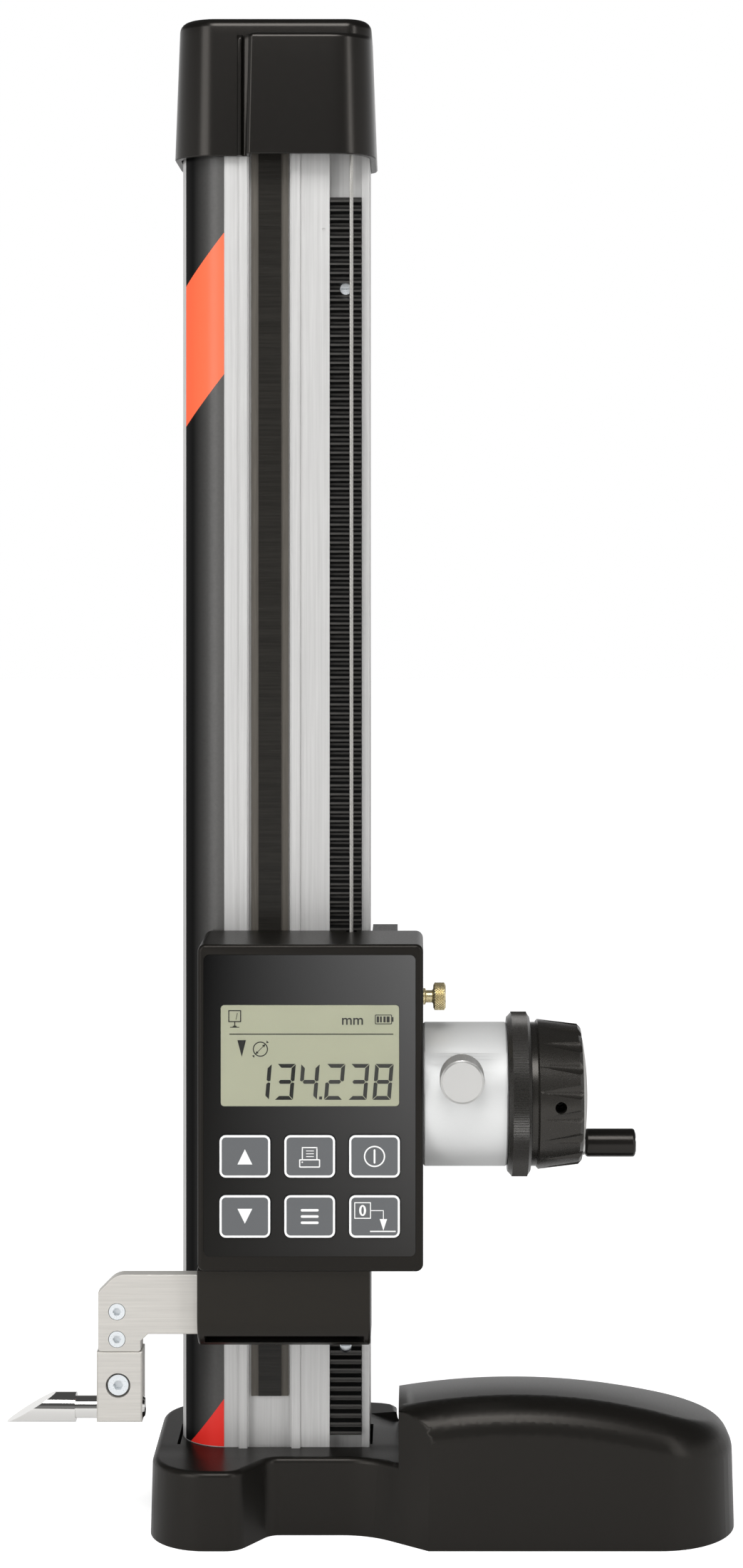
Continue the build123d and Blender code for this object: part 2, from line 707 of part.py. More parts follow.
# ---------------------------------------------------------------- carriage body
with BuildPart() as carriage_body:
    block(plate_left, arm_inner, plate_front, plate_rear, plate_bottom, plate_top)
    block(arm_inner - 1, arm_outer, plate_front, housing_rear - 0.1, plate_bottom, plate_top)
    block(arm_inner, arm_outer, housing_rear - 0.2, housing_rear + 0.1, plate_bottom, plate_top)
    block(arm_inner, arm_outer, housing_rear, arm_rear, housing_bottom, housing_top)
    rod_x(drive_y, drive_z, 12.5, arm_inner, housing_right - housing_wall - 0.1)
    with BuildSketch(Plane.YZ.offset(arm_inner)) as boss_plan:
        with Locations((drive_y, drive_z)):
            Circle(sleeve_radius - 0.1)
        with Locations((drive_y - 20 + housing_rear - drive_y + 0.1, drive_z)):
            Rectangle(40, 60, mode=Mode.SUBTRACT)
    extrude(amount=housing_right - 0.1 - arm_inner)
    block(foot_left, foot_right, foot_front, plate_rear, foot_bottom, housing_bottom - 0.1)
    block(foot_left + 3, foot_right - 3, plate_front, plate_rear, housing_bottom - 1, plate_bottom + 1)
    # pinion window, bush seats and the wire's channel
    block(18.0, 31.0, plate_front - 5, plate_rear + 3, drive_z - 12, drive_z + 12, Mode.SUBTRACT)
    rod_x(drive_y, drive_z, bush_radius, 12, 18.1, mode=Mode.SUBTRACT)
    rod_x(drive_y, drive_z, bush_radius, 30, 60, mode=Mode.SUBTRACT)
    block(25.2, 28.8, wire_front_y - 1.8, plate_rear + 3, hook_z - 8, plate_top + 5, Mode.SUBTRACT)
    # pad and head pockets
    for rib_start in (left_rib_start, right_rib_start):
        pad_middle = rib_start + rib_width / 2
        for pad_z in (101.0, 187.0):
            block(pad_middle - 2, pad_middle + 2, plate_rear - 1.5, plate_rear + 1, pad_z, pad_z + 16, Mode.SUBTRACT)
    block(-5.5, 2.2, plate_rear - 3.5, plate_rear + 1, 150, 186, Mode.SUBTRACT)
    for guide_z in (104.0, 184.0):
        block(
            arm_inner - 1,
            arm_inner + 3.0,
            side_groove_front + running_gap,
            side_groove_rear - running_gap,
            guide_z,
            guide_z + 18,
            Mode.SUBTRACT,
        )
    for clamp_x in (-6.0, 16.0):
        rod_y(clamp_x, 83.15, 2.0, foot_front - 1, foot_front + 10, mode=Mode.SUBTRACT)
    for tap_x, tap_z in housing_taps:
        rod_y(tap_x, tap_z, 1.45, plate_front - 1, plate_rear + 1, mode=Mode.SUBTRACT)
        rod_y(tap_x, tap_z, 2.5, plate_rear - 2.3, plate_rear + 1, mode=Mode.SUBTRACT)
    for angle in sleeve_screw_angles:
        screw_y = drive_y + sleeve_screw_circle * cos(radians(angle))
        screw_z = drive_z + sleeve_screw_circle * sin(radians(angle))
        rod_x(screw_y, screw_z, 1.5, 43.5, 60, mode=Mode.SUBTRACT)
    rod_x(thumb_y, thumb_z, thumb_stem + 0.1, 40, 60, mode=Mode.SUBTRACT)
finish(carriage_body, "carriage_body")

with BuildPart() as guide_pads:
    for rib_start in (left_rib_start, right_rib_start):
        pad_middle = rib_start + rib_width / 2
        pad_face = column_front - rib_proud - running_gap
        for pad_z in (101.0, 187.0):
            block(pad_middle - 2, pad_middle + 2, plate_rear - 1.5, pad_face, pad_z, pad_z + 16)
finish(guide_pads, "guide_pads")

with BuildPart() as side_guides:
    for guide_z in (104.0, 184.0):
        block(
            column_side - side_groove_depth + running_gap,
            arm_inner + 3.0,
            side_groove_front + running_gap,
            side_groove_rear - running_gap,
            guide_z,
            guide_z + 18,
        )
finish(side_guides, "side_guides")

with BuildPart() as read_head:
    block(-5.5, 2.2, plate_rear - 3.5, glass_face - 0.5, 150, 186)
    block(-4.4, 1.1, glass_face - 0.7, glass_face - 0.4, 154, 182, Mode.SUBTRACT)
finish(read_head, "read_head")

with BuildPart() as wire_anchor:
    block(25.3, 28.7, wire_front_y - 1.7, plate_rear - 0.05, hook_z - 7, hook_z)
finish(wire_anchor, "wire_anchor")

# ---------------------------------------------------------------- display housing
with BuildPart() as housing_shell:
    block(housing_left, housing_right, housing_front, housing_rear, housing_bottom, housing_top)
    upright = housing_shell.edges().filter_by(Axis.Y)
    fillet(upright, 2.5)
    fillet(housing_shell.edges().group_by(Axis.Y)[0], 1.3)
    block(
        housing_left + housing_wall,
        housing_right - housing_wall,
        housing_front + housing_wall,
        housing_rear + 1,
        housing_bottom + housing_wall,
        housing_top - housing_wall,
        Mode.SUBTRACT,
    )
    slab_y(
        panel_left - slip_gap / 2,
        panel_right + slip_gap / 2,
        panel_bottom - slip_gap / 2,
        panel_top + slip_gap / 2,
        panel_corner,
        housing_front - 1,
        panel_rear,
        Mode.SUBTRACT,
    )
    slab_y(
        window_left + window_ledge,
        window_right - window_ledge,
        window_bottom + window_ledge,
        window_top - window_ledge,
        window_corner,
        housing_front - 1,
        flange_front + 1,
        Mode.SUBTRACT,
    )
    for key_z in key_rows:
        for key_x in key_columns:
            slab_y(
                key_x - key_width / 2 - key_gap,
                key_x + key_width / 2 + key_gap,
                key_z - key_height / 2 - key_gap,
                key_z + key_height / 2 + key_gap,
                key_corner + key_gap,
                housing_front - 1,
                flange_front + 1,
                Mode.SUBTRACT,
            )
    block(25.2, 28.8, wire_front_y - 1.8, 0, housing_top - 5, housing_top + 1, Mode.SUBTRACT)
    rod_x(drive_y, drive_z, 12.6, 45, 60, mode=Mode.SUBTRACT)
    block(45, 60, drive_y, 0, drive_z - 12.6, drive_z + 12.6, Mode.SUBTRACT)
    rod_x(thumb_y, thumb_z, thumb_stem + 0.1, 45, 60, mode=Mode.SUBTRACT)
    block(foot_left + 2.9, foot_right - 2.9, plate_front - 0.1, 0, 90, plate_bottom, Mode.SUBTRACT)
    for tap_x, tap_z in housing_taps:
        rod_y(tap_x, tap_z, 3.0, flange_front - 0.5, plate_front - 0.1)
        rod_y(tap_x, tap_z, 1.25, flange_front + 4, plate_front + 3, mode=Mode.SUBTRACT)
finish(housing_shell, "housing_shell")

with BuildPart() as housing_screws:
    for tap_x, tap_z in housing_taps:
        rod_y(tap_x, tap_z, 1.25, flange_front + 6, plate_rear - 2.3)
        rod_y(tap_x, tap_z, 2.3, plate_rear - 2.3, plate_rear - 0.3)
        block(tap_x - 1.7, tap_x + 1.7, plate_rear - 1.2, plate_rear, tap_z - 0.3, tap_z + 0.3, Mode.SUBTRACT)
finish(housing_screws, "housing_screws")

with BuildPart() as front_panel:
    slab_y(panel_left, panel_right, panel_bottom, panel_top, panel_corner, panel_front, panel_rear)
    slab_y(
        window_left - running_gap,
        window_right + running_gap,
        window_bottom - running_gap,
        window_top + running_gap,
        window_corner,
        panel_front - 1,
        panel_rear + 1,
        Mode.SUBTRACT,
    )
    for key_z in key_rows:
        for key_x in key_columns:
            slab_y(
                key_x - key_width / 2 - key_gap,
                key_x + key_width / 2 + key_gap,
                key_z - key_height / 2 - key_gap,
                key_z + key_height / 2 + key_gap,
                key_corner + key_gap,
                panel_front - 1,
                panel_rear + 1,
                Mode.SUBTRACT,
            )
finish(front_panel, "front_panel")

with BuildPart() as lcd_window:
    slab_y(window_left, window_right, window_bottom, window_top, window_corner, panel_front, panel_rear)
finish(lcd_window, "lcd_window")

with BuildPart() as lcd_module:
    block(window_left - 1.5, window_right + 1.5, flange_front, flange_front + 3.4, window_bottom - 2, window_top + 2)
    block(window_left + 4, window_right - 4, flange_front + 3.4, board_front, window_bottom + 4, window_bottom + 7)
    block(window_left + 4, window_right - 4, flange_front + 3.4, board_front, window_top - 7, window_top - 4)
finish(lcd_module, "lcd_module")

with BuildPart() as circuit_board:
    block(-21.0, 48.0, board_front, board_front + board_thickness, 107.5, 203.0)
    for tap_x, tap_z in housing_taps:
        rod_y(tap_x, tap_z, 3.2, board_front - 1, board_front + 3, mode=Mode.SUBTRACT)
    block(44.0, 49, board_front - 1, board_front + 3, thumb_z - 4, thumb_z + 4, Mode.SUBTRACT)
finish(circuit_board, "circuit_board")

with BuildPart() as key_switches:
    for key_z in key_rows:
        for key_x in key_columns:
            block(key_x - 3, key_x + 3, switch_front + 0.8, board_front, key_z - 3, key_z + 3)
            rod_y(key_x, key_z, 1.7, switch_front, switch_front + 0.9)
finish(key_switches, "key_switches")

with BuildPart() as battery_cell:
    rod_y(6.0, 120.0, 10.0, board_front + board_thickness + 0.6, board_front + board_thickness + 3.8)
    rod_y(6.0, 120.0, 8.6, board_front + board_thickness, board_front + board_thickness + 0.7)
finish(battery_cell, "battery_cell")

for row, key_z in enumerate(key_rows):
    for place, key_x in enumerate(key_columns):
        with BuildPart() as key:
            slab_y(
                key_x - key_width / 2,
                key_x + key_width / 2,
                key_z - key_height / 2,
                key_z + key_height / 2,
                key_corner,
                key_front,
                flange_front + 0.4,
            )
            fillet(key.edges().group_by(Axis.Y)[0], 0.4)
            slab_y(
                key_x - key_width / 2 - 0.9,
                key_x + key_width / 2 + 0.9,
                key_z - key_height / 2 - 0.9,
                key_z + key_height / 2 + 0.9,
                key_corner,
                flange_front + 0.1,
                flange_front + 1.1,
            )
            rod_y(key_x, key_z, 1.9, flange_front + 1.0, switch_front - key_travel - 0.05)
        finish(key, key_names[3 * row + place])

# ---------------------------------------------------------------- lower cover
with BuildPart() as lower_cover:
    with BuildSketch(Plane.YZ.offset(-24.6)):
        with BuildLine():
            Line((-53.0, 96.7), (-53.0, 80.5))
            ThreePointArc((-53.0, 80.5), (-49.6, 72.3), (-41.5, 68.6))
            Line((-41.5, 68.6), (-22.6, 68.6))
            Line((-22.6, 68.6), (-22.6, 96.7))
            Line((-22.6, 96.7), (-53.0, 96.7))
        make_face()
    extrude(amount=58.6)
    fillet(lower_cover.edges().filter_by(lambda edge: edge.center().Y < -41.6 and abs(edge.center().X - 4.7) > 25 and edge.center().Z < 96), 1.0)
    block(foot_left - 2.2, foot_right + 1.8, -50.8, -20, foot_bottom - 0.5, 98, Mode.SUBTRACT)
    block(-30, foot_left, arm_front - 0.2, arm_front + arm_thickness + 0.2, arm_low - 0.2, arm_high + 0.2, Mode.SUBTRACT)
finish(lower_cover, "lower_cover")

# ---------------------------------------------------------------- arm, holder, insert
with BuildPart() as measuring_arm:
    with BuildSketch(Plane.XZ.offset(-(arm_front + arm_thickness))):
        with BuildLine():
            Line((26, arm_high), (-50.0, arm_high))
            ThreePointArc((-50.0, arm_high), (-52.4, 92.85), (-54.4, 91.6))
            Line((-54.4, 91.6), (arm_left, 87.2))
            Line((arm_left, 87.2), (leg_left, leg_foot + 1))
            RadiusArc((leg_left, leg_foot + 1), (leg_left + 1, leg_foot), -1)
            Line((leg_left + 1, leg_foot), (leg_right - 1, leg_foot))
            RadiusArc((leg_right - 1, leg_foot), (leg_right, leg_foot + 1), -1)
            Line((leg_right, leg_foot + 1), (leg_right, 70.7))
            Line((leg_right, 70.7), (-41.8, arm_low))
            Line((-41.8, arm_low), (26, arm_low))
            Line((26, arm_low), (26, arm_high))
        make_face()
    extrude(amount=arm_thickness)
    chamfer(measuring_arm.edges().group_by(Axis.Y)[0].filter_by(GeomType.LINE), 0.25)
    for screw_z in arm_screw_heights:
        rod_y(arm_screw_x, screw_z, 1.6, arm_front - 1, -30, mode=Mode.SUBTRACT)
        rod_y(arm_screw_x, screw_z, 2.9, arm_front - 1, arm_front + 3.1, mode=Mode.SUBTRACT)
    for clamp_x in (-6.0, 16.0):
        rod_y(clamp_x, 83.15, 2.1, arm_front - 1, -30, mode=Mode.SUBTRACT)
finish(measuring_arm, "measuring_arm")

with BuildPart() as arm_screws:
    for screw_z in arm_screw_heights:
        rod_y(arm_screw_x, screw_z, 2.75, arm_front + 0.1, arm_front + 3.1)
        rod_y(arm_screw_x, screw_z, 1.45, arm_front + 3.1, arm_front + arm_thickness + 4.2)
        with BuildSketch(Plane.XZ.offset(-(arm_front + 1.8))):
            with Locations((arm_screw_x, screw_z)):
                RegularPolygon(1.45, 6)
        extrude(amount=3, mode=Mode.SUBTRACT)
finish(arm_screws, "arm_screws")

with BuildPart() as clamp_bolts:
    for clamp_x in (-6.0, 16.0):
        rod_y(clamp_x, 83.15, 3.6, arm_front - 3.4, arm_front)
        rod_y(clamp_x, 83.15, 1.95, arm_front, foot_front + 9)
        with BuildSketch(Plane.XZ.offset(-(arm_front - 1.6))):
            with Locations((clamp_x, 83.15)):
                RegularPolygon(1.7, 6)
        extrude(amount=3, mode=Mode.SUBTRACT)
finish(clamp_bolts, "clamp_bolts")

arm_rear_face = arm_front + arm_thickness
with BuildPart() as holder_block:
    block(holder_left, holder_right, arm_front, arm_front + holder_depth, holder_low, leg_foot - 0.1)
    block(holder_left + 0.6, holder_right - 0.6, arm_rear_face, arm_rear_face + 5.0, leg_foot - 1, 85.5)
    chamfer(holder_block.edges().group_by(Axis.Y)[0], 0.5)
    for screw_z in arm_screw_heights:
        rod_y(arm_screw_x, screw_z, 1.45, arm_rear_face - 1, arm_rear_face + 5, mode=Mode.SUBTRACT)
    rod_y(-52.0, 55.5, 4.2, arm_front - 1, arm_front + 4.2, mode=Mode.SUBTRACT)
    rod_y(-52.0, 55.5, 2.0, arm_front, arm_front + 9, mode=Mode.SUBTRACT)
    rod_x(insert_y, insert_z, shank_radius + 0.02, -70, -30, mode=Mode.SUBTRACT)
    block(holder_left - 1, holder_right + 1, insert_y - 0.5, insert_y + 0.5, insert_z, 54.0, Mode.SUBTRACT)
finish(holder_block, "holder_block")

with BuildPart() as clamp_screw:
    rod_y(-52.0, 55.5, 3.5, arm_front + 0.6, arm_front + 4.2)
    rod_y(-52.0, 55.5, 2.0, arm_front + 4.2, arm_front + 9)
    with BuildSketch(Plane.XZ.offset(-(arm_front + 2.6))):
        with Locations((-52.0, 55.5)):
            RegularPolygon(1.75, 6)
    extrude(amount=3, mode=Mode.SUBTRACT)
finish(clamp_screw, "clamp_screw")

with BuildPart() as measuring_insert:
    rod_x(insert_y, insert_z, shank_radius, -66.7, -43.1)
    rod_x(insert_y, insert_z, tip_radius, tip_left, -66.7)
    with BuildSketch(Plane.XZ.offset(-(insert_y + 6))):
        with BuildLine():
            Polyline((-73.7, 53), (-92, 53), (-92, 41), (tip_left, insert_z - 4.9), (-73.7, insert_z + tip_radius), close=True)
        make_face()
    extrude(amount=12, mode=Mode.SUBTRACT)
    chamfer(measuring_insert.edges().filter_by(GeomType.CIRCLE).sort_by(Axis.X)[-1], 0.8)
finish(measuring_insert, "measuring_insert")

# ---------------------------------------------------------------- drive
with BuildPart() as drive_bushes:
    for bush_start, bush_end in ((12.0, 17.6), (36.0, 44.0)):
        rod_x(drive_y, drive_z, bush_radius, bush_start, bush_end)
    rod_x(drive_y, drive_z, shaft_radius + 0.03, 10, 60, mode=Mode.SUBTRACT)
finish(drive_bushes, "drive_bushes")

with BuildPart() as drive_shaft:
    rod_x(drive_y, drive_z, shaft_radius, 12.4, 104.0)
    rod_x(drive_y, drive_z, 13.0, 61.0, 69.0)
    chamfer(drive_shaft.edges().filter_by(GeomType.CIRCLE).sort_by(Axis.X)[-1], 0.5)
    chamfer(drive_shaft.edges().filter_by(GeomType.CIRCLE).sort_by(Axis.X)[0], 0.5)
finish(drive_shaft, "drive_shaft")

base_radius = pinion_pitch_radius * cos(pressure_angle)
pitch_half_angle = (pitch / 4 - tooth_thinning / 2) / pinion_pitch_radius
pitch_involute = tan(pressure_angle) - pressure_angle
nearest_tooth = round((drive_z - rack_bottom) / pitch - 0.5)
mesh_offset = rack_bottom + pitch * (nearest_tooth + 0.5) - drive_z
first_tooth = mesh_offset / pinion_pitch_radius + pi / pinion_teeth
flank_radii = [pinion_pitch_radius - 1.25 * module, base_radius, 8.9, 9.4, pinion_pitch_radius + 0.95 * module]
with BuildPart() as pinion:
    with BuildSketch(Plane.YZ.offset(pinion_start)):
        with BuildLine():
            tooth_points = []
            for tooth in range(pinion_teeth):
                middle = first_tooth + tooth * 2 * pi / pinion_teeth
                rising = []
                for radius in flank_radii:
                    roll = acos(min(1.0, base_radius / radius))
                    half_angle = pitch_half_angle + pitch_involute - (tan(roll) - roll)
                    rising.append((radius, half_angle))
                for radius, half_angle in rising:
                    angle = middle - half_angle
                    tooth_points.append((drive_y + radius * cos(angle), drive_z + radius * sin(angle)))
                for radius, half_angle in reversed(rising):
                    angle = middle + half_angle
                    tooth_points.append((drive_y + radius * cos(angle), drive_z + radius * sin(angle)))
            Polyline(*tooth_points, close=True)
        make_face()
    extrude(amount=pinion_end - pinion_start)
    rod_x(drive_y, drive_z, shaft_radius, pinion_start - 1, pinion_end + 1, mode=Mode.SUBTRACT)
finish(pinion, "pinion")

with BuildPart() as drive_sleeve:
    rod_x(drive_y, drive_z, sleeve_radius, sleeve_start, sleeve_end)
    chamfer(drive_sleeve.edges().filter_by(GeomType.CIRCLE), 0.5)
    rod_x(drive_y, drive_z, nose_radius, sleeve_end - 1, nose_end)
    rod_y(lock_x, lock_z, 6.2, -53.5, -46)
    rod_x(drive_y, drive_z, 20.5, sleeve_start + 5, sleeve_end - 3, mode=Mode.SUBTRACT)
    rod_x(drive_y, drive_z, shaft_radius + 0.5, 50, 90, mode=Mode.SUBTRACT)
    rod_y(lock_x, lock_z, lock_stem + 0.05, -60, drive_y - 5, mode=Mode.SUBTRACT)
    for angle in sleeve_screw_angles:
        screw_y = drive_y + sleeve_screw_circle * cos(radians(angle))
        screw_z = drive_z + sleeve_screw_circle * sin(radians(angle))
        rod_x(screw_y, screw_z, 1.5, 50, 60, mode=Mode.SUBTRACT)
finish(drive_sleeve, "drive_sleeve")

with BuildPart() as sleeve_screws:
    for angle in sleeve_screw_angles:
        screw_y = drive_y + sleeve_screw_circle * cos(radians(angle))
        screw_z = drive_z + sleeve_screw_circle * sin(radians(angle))
        rod_x(screw_y, screw_z, 1.5, 44, sleeve_start + 5)
        rod_x(screw_y, screw_z, 2.7, sleeve_start + 5, sleeve_start + 8)
finish(sleeve_screws, "sleeve_screws")

with BuildPart() as fine_ring:
    with BuildSketch(Plane.YZ.offset(ring_start)):
        with Locations((drive_y, drive_z)):
            Circle(ring_radius)
            with PolarLocations(ring_radius + 0.2, ring_ridges):
                Circle(ring_groove, mode=Mode.SUBTRACT)
    extrude(amount=ring_end - ring_start)
    rod_x(drive_y, drive_z, nose_radius + running_gap, 70, 95, mode=Mode.SUBTRACT)
finish(fine_ring, "fine_ring")

with BuildPart() as handwheel:
    rod_x(drive_y, drive_z, sleeve_radius, wheel_neck_start, wheel_start + 1)
    with BuildSketch(Plane.XZ.offset(-drive_y)):
        with BuildLine():
            Polyline(
                (wheel_start, drive_z),
                (wheel_start, drive_z + wheel_start_radius - 0.6),
                (wheel_start + 0.6, drive_z + wheel_start_radius),
                (wheel_end - 1.2, drive_z + wheel_end_radius + 0.1),
                (wheel_end, drive_z + wheel_end_radius - 1.2),
                (wheel_end, drive_z),
                close=True,
            )
        make_face()
    revolve(axis=Axis((0, drive_y, drive_z), (1, 0, 0)))
    wheel_slope = (wheel_start_radius - wheel_end_radius) / (wheel_end - wheel_start)
    flute_circle = wheel_start_radius - wheel_slope * flute_lead + flute_tip_radius
    flute_mouth = flute_circle - wheel_end_radius + flute_depth
    flute_length = wheel_end - wheel_start - flute_lead
    for flute in range(flute_count):
        angle = radians(flute_turn + flute * 360 / flute_count)
        flute_y = drive_y + flute_circle * cos(angle)
        flute_z = drive_z + flute_circle * sin(angle)
        flute_place = Plane((wheel_start + flute_lead, flute_y, flute_z), x_dir=(0, 1, 0), z_dir=(1, 0, 0))
        with Locations(flute_place):
            Cone(
                flute_tip_radius,
                flute_mouth,
                flute_length,
                align=(Align.CENTER, Align.CENTER, Align.MIN),
                mode=Mode.SUBTRACT,
            )
    rod_x(drive_y, drive_z, shaft_radius + 0.01, 80, 104.1, mode=Mode.SUBTRACT)
    rod_x(drive_y, drive_z - crank_offset, crank_pin_radius, 96, 110, mode=Mode.SUBTRACT)
    grub_plane = Plane(origin=(98.5, drive_y, drive_z), x_dir=(1, 0, 0), z_dir=(0, -1, 0))
    with BuildSketch(grub_plane):
        Circle(2.0)
    extrude(amount=40, mode=Mode.SUBTRACT)
finish(handwheel, "handwheel")

with BuildPart() as wheel_grub_screw:
    with BuildSketch(grub_plane.offset(4.0)):
        Circle(1.98)
    extrude(amount=8)
    with BuildSketch(grub_plane.offset(9.5)):
        RegularPolygon(1.1, 6)
    extrude(amount=3, mode=Mode.SUBTRACT)
finish(wheel_grub_screw, "wheel_grub_screw")

with BuildPart() as wheel_cover:
    rod_x(drive_y, drive_z, cover_radius, wheel_end, cover_end)
    fillet(wheel_cover.edges().filter_by(GeomType.CIRCLE).sort_by(Axis.X)[-1], 1.8)
    rod_x(drive_y, drive_z - crank_offset, crank_pin_radius + 2.9, wheel_end - 1, cover_end + 1, mode=Mode.SUBTRACT)
finish(wheel_cover, "wheel_cover")

with BuildPart() as crank_pin:
    rod_x(drive_y, drive_z - crank_offset, crank_pin_radius, 96.4, grip_end + 0.2)
    rod_x(drive_y, drive_z - crank_offset, 4.2, wheel_end, wheel_end + 1.4)
    rod_x(drive_y, drive_z - crank_offset, 3.3, grip_end - 1.4, grip_end + 0.2)
finish(crank_pin, "crank_pin")

with BuildPart() as crank_grip:
    rod_x(drive_y, drive_z - crank_offset, grip_radius, grip_start, grip_end)
    fillet(crank_grip.edges().filter_by(GeomType.CIRCLE), 1.0)
    rod_x(drive_y, drive_z - crank_offset, grip_bore, grip_start - 1, grip_end + 1, mode=Mode.SUBTRACT)
    rod_x(drive_y, drive_z - crank_offset, 3.6, grip_end - 1.8, grip_end + 1, mode=Mode.SUBTRACT)
finish(crank_grip, "crank_grip")

with BuildPart() as lock_knob:
    rod_y(lock_x, lock_z, lock_radius, lock_front, lock_rear)
    chamfer(lock_knob.edges().group_by(Axis.Y)[0], 0.7)
    with BuildSketch(Plane.XZ.offset(-lock_rear - 1)):
        with Locations((lock_x, lock_z)):
            with PolarLocations(lock_radius + 0.3, 36):
                Circle(0.65)
    extrude(amount=10, mode=Mode.SUBTRACT)
    rod_y(lock_x, lock_z, lock_stem, lock_rear, lock_tip)
finish(lock_knob, "lock_knob")

with BuildPart() as thumb_screw:
    rod_x(thumb_y, thumb_z, thumb_radius, thumb_start, thumb_end)
    chamfer(thumb_screw.edges().filter_by(GeomType.CIRCLE), 0.5)
    rod_x(thumb_y, thumb_z, thumb_stem, 44.5, thumb_start)
    with BuildSketch(Plane.YZ.offset(housing_right + 0.1)):
        with Locations((thumb_y, thumb_z)):
            Circle(2.85)
    extrude(amount=1.0, taper=20)
finish(thumb_screw, "thumb_screw")
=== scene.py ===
import bpy
import bmesh
import json
import math
from mathutils import Matrix, Vector


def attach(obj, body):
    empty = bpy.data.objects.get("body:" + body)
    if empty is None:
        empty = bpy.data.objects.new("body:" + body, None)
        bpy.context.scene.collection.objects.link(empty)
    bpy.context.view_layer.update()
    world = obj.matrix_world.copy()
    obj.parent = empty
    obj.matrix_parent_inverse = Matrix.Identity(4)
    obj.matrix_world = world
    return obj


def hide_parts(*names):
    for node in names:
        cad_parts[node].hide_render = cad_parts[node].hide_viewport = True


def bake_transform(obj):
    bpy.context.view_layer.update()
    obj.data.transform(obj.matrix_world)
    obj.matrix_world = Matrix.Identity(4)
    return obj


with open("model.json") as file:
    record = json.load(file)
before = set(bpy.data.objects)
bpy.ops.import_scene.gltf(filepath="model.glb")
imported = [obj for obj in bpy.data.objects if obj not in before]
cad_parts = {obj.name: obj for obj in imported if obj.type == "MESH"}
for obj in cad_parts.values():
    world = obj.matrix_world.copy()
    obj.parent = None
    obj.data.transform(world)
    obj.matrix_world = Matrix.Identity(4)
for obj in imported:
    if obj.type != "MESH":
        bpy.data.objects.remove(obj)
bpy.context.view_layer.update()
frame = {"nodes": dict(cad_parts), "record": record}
mm = 0.001

studio = {
    "cameraPlace": (0.0485, -0.971, 0.341), "lens": 62.41, "sensor": 36, "shiftX": -0.02658, "shiftY": -0.15107,
    "farClip": 20, "worldFill": 0.51, "worldSeen": 1.0,
    "ceiling": 0.08, "ceilingFrom": 0.08, "ceilingTo": 0.42,  # how bright, and between which heights it fades in
    "frontRoom": 0.22, "roomFrom": -0.35, "roomTo": -0.8,
    "floorColor": (0.93, 0.93, 0.93, 1), "floorRoughness": 0.9, "floorGlow": 0.55, "floorSize": 6,
}
lamps = {
    "topBox": {"place": (0.0, -0.9, 1.25), "target": (0.05, 0, 0.15), "width": 0.6, "power": 8.8},
    "leftBox": {"place": (-0.75, -1.15, 0.45), "target": (0, 0, 0.25), "width": 0.5, "height": 1.3, "power": 6.9},
    "rightBox": {"place": (0.85, -0.95, 0.5), "target": (0.03, 0, 0.25), "width": 0.18, "height": 1.3, "power": 3.6},
}

scene = bpy.context.scene
scene.view_settings.view_transform = "Standard"


def setInput(node, place, value):
    if isinstance(value, bpy.types.NodeSocket):
        node.id_data.links.new(value, node.inputs[place])
    else:
        node.inputs[place].default_value = value


def fill(node, *values, **named):
    # sets or links a node's inputs, in their order or by their names
    for place, value in enumerate(values):
        setInput(node, place, value)
    for label, value in named.items():
        setInput(node, label.replace("_", " "), value)
    return node


def addNode(tree, kind, *values, **named):
    return fill(tree.nodes.new(kind), *values, **named)


def mathOf(tree, operation, *values):
    node = tree.nodes.new("ShaderNodeMath")
    node.operation = operation
    return fill(node, *values).outputs[0]


def rangeOf(tree, value, fromMin, fromMax, toMin, toMax, smooth=False):
    spread = addNode(tree, "ShaderNodeMapRange", value, fromMin, fromMax, toMin, toMax)
    if smooth:
        spread.interpolation_type = "SMOOTHSTEP"
    return spread.outputs["Result"]


def axesOf(tree, source):
    # the x, y and z of a texture coordinate
    place = tree.nodes.new("ShaderNodeTexCoord")
    return addNode(tree, "ShaderNodeSeparateXYZ", place.outputs[source]).outputs


def makeCamera():
    data = bpy.data.cameras.new("camera")
    data.sensor_fit = "VERTICAL"
    data.sensor_height = studio["sensor"]
    data.lens = studio["lens"]
    data.shift_x = studio["shiftX"]
    data.shift_y = studio["shiftY"]
    data.clip_end = studio["farClip"]
    camera = bpy.data.objects.new("camera", data)
    camera.location = studio["cameraPlace"]
    camera.rotation_euler = (math.radians(90), 0, 0)
    scene.collection.objects.link(camera)
    scene.camera = camera


def makeWorld():
    # white to the camera; reflections also see a dim ceiling and a dim room behind the camera
    world = bpy.data.worlds.new("studioWorld")
    scene.world = world
    world.use_nodes = True
    tree = world.node_tree
    tree.nodes.clear()
    path = tree.nodes.new("ShaderNodeLightPath")
    heading = axesOf(tree, "Generated")
    above = rangeOf(tree, heading[2], studio["ceilingFrom"], studio["ceilingTo"], 1, studio["ceiling"], True)
    behind = rangeOf(tree, heading[1], studio["roomFrom"], studio["roomTo"], 1, studio["frontRoom"], True)
    clear = mathOf(tree, "MAXIMUM", path.outputs["Is Camera Ray"], path.outputs["Is Transmission Ray"])
    shade = mathOf(tree, "MAXIMUM", clear, mathOf(tree, "MINIMUM", above, behind))
    soft = addNode(tree, "ShaderNodeBackground", (1, 1, 1, 1), studio["worldFill"])
    seen = addNode(tree, "ShaderNodeBackground", shade, studio["worldSeen"])
    direct = mathOf(tree, "MAXIMUM", clear, path.outputs["Is Glossy Ray"])
    mix = addNode(tree, "ShaderNodeMixShader", direct, soft.outputs[0], seen.outputs[0])
    addNode(tree, "ShaderNodeOutputWorld", mix.outputs[0])


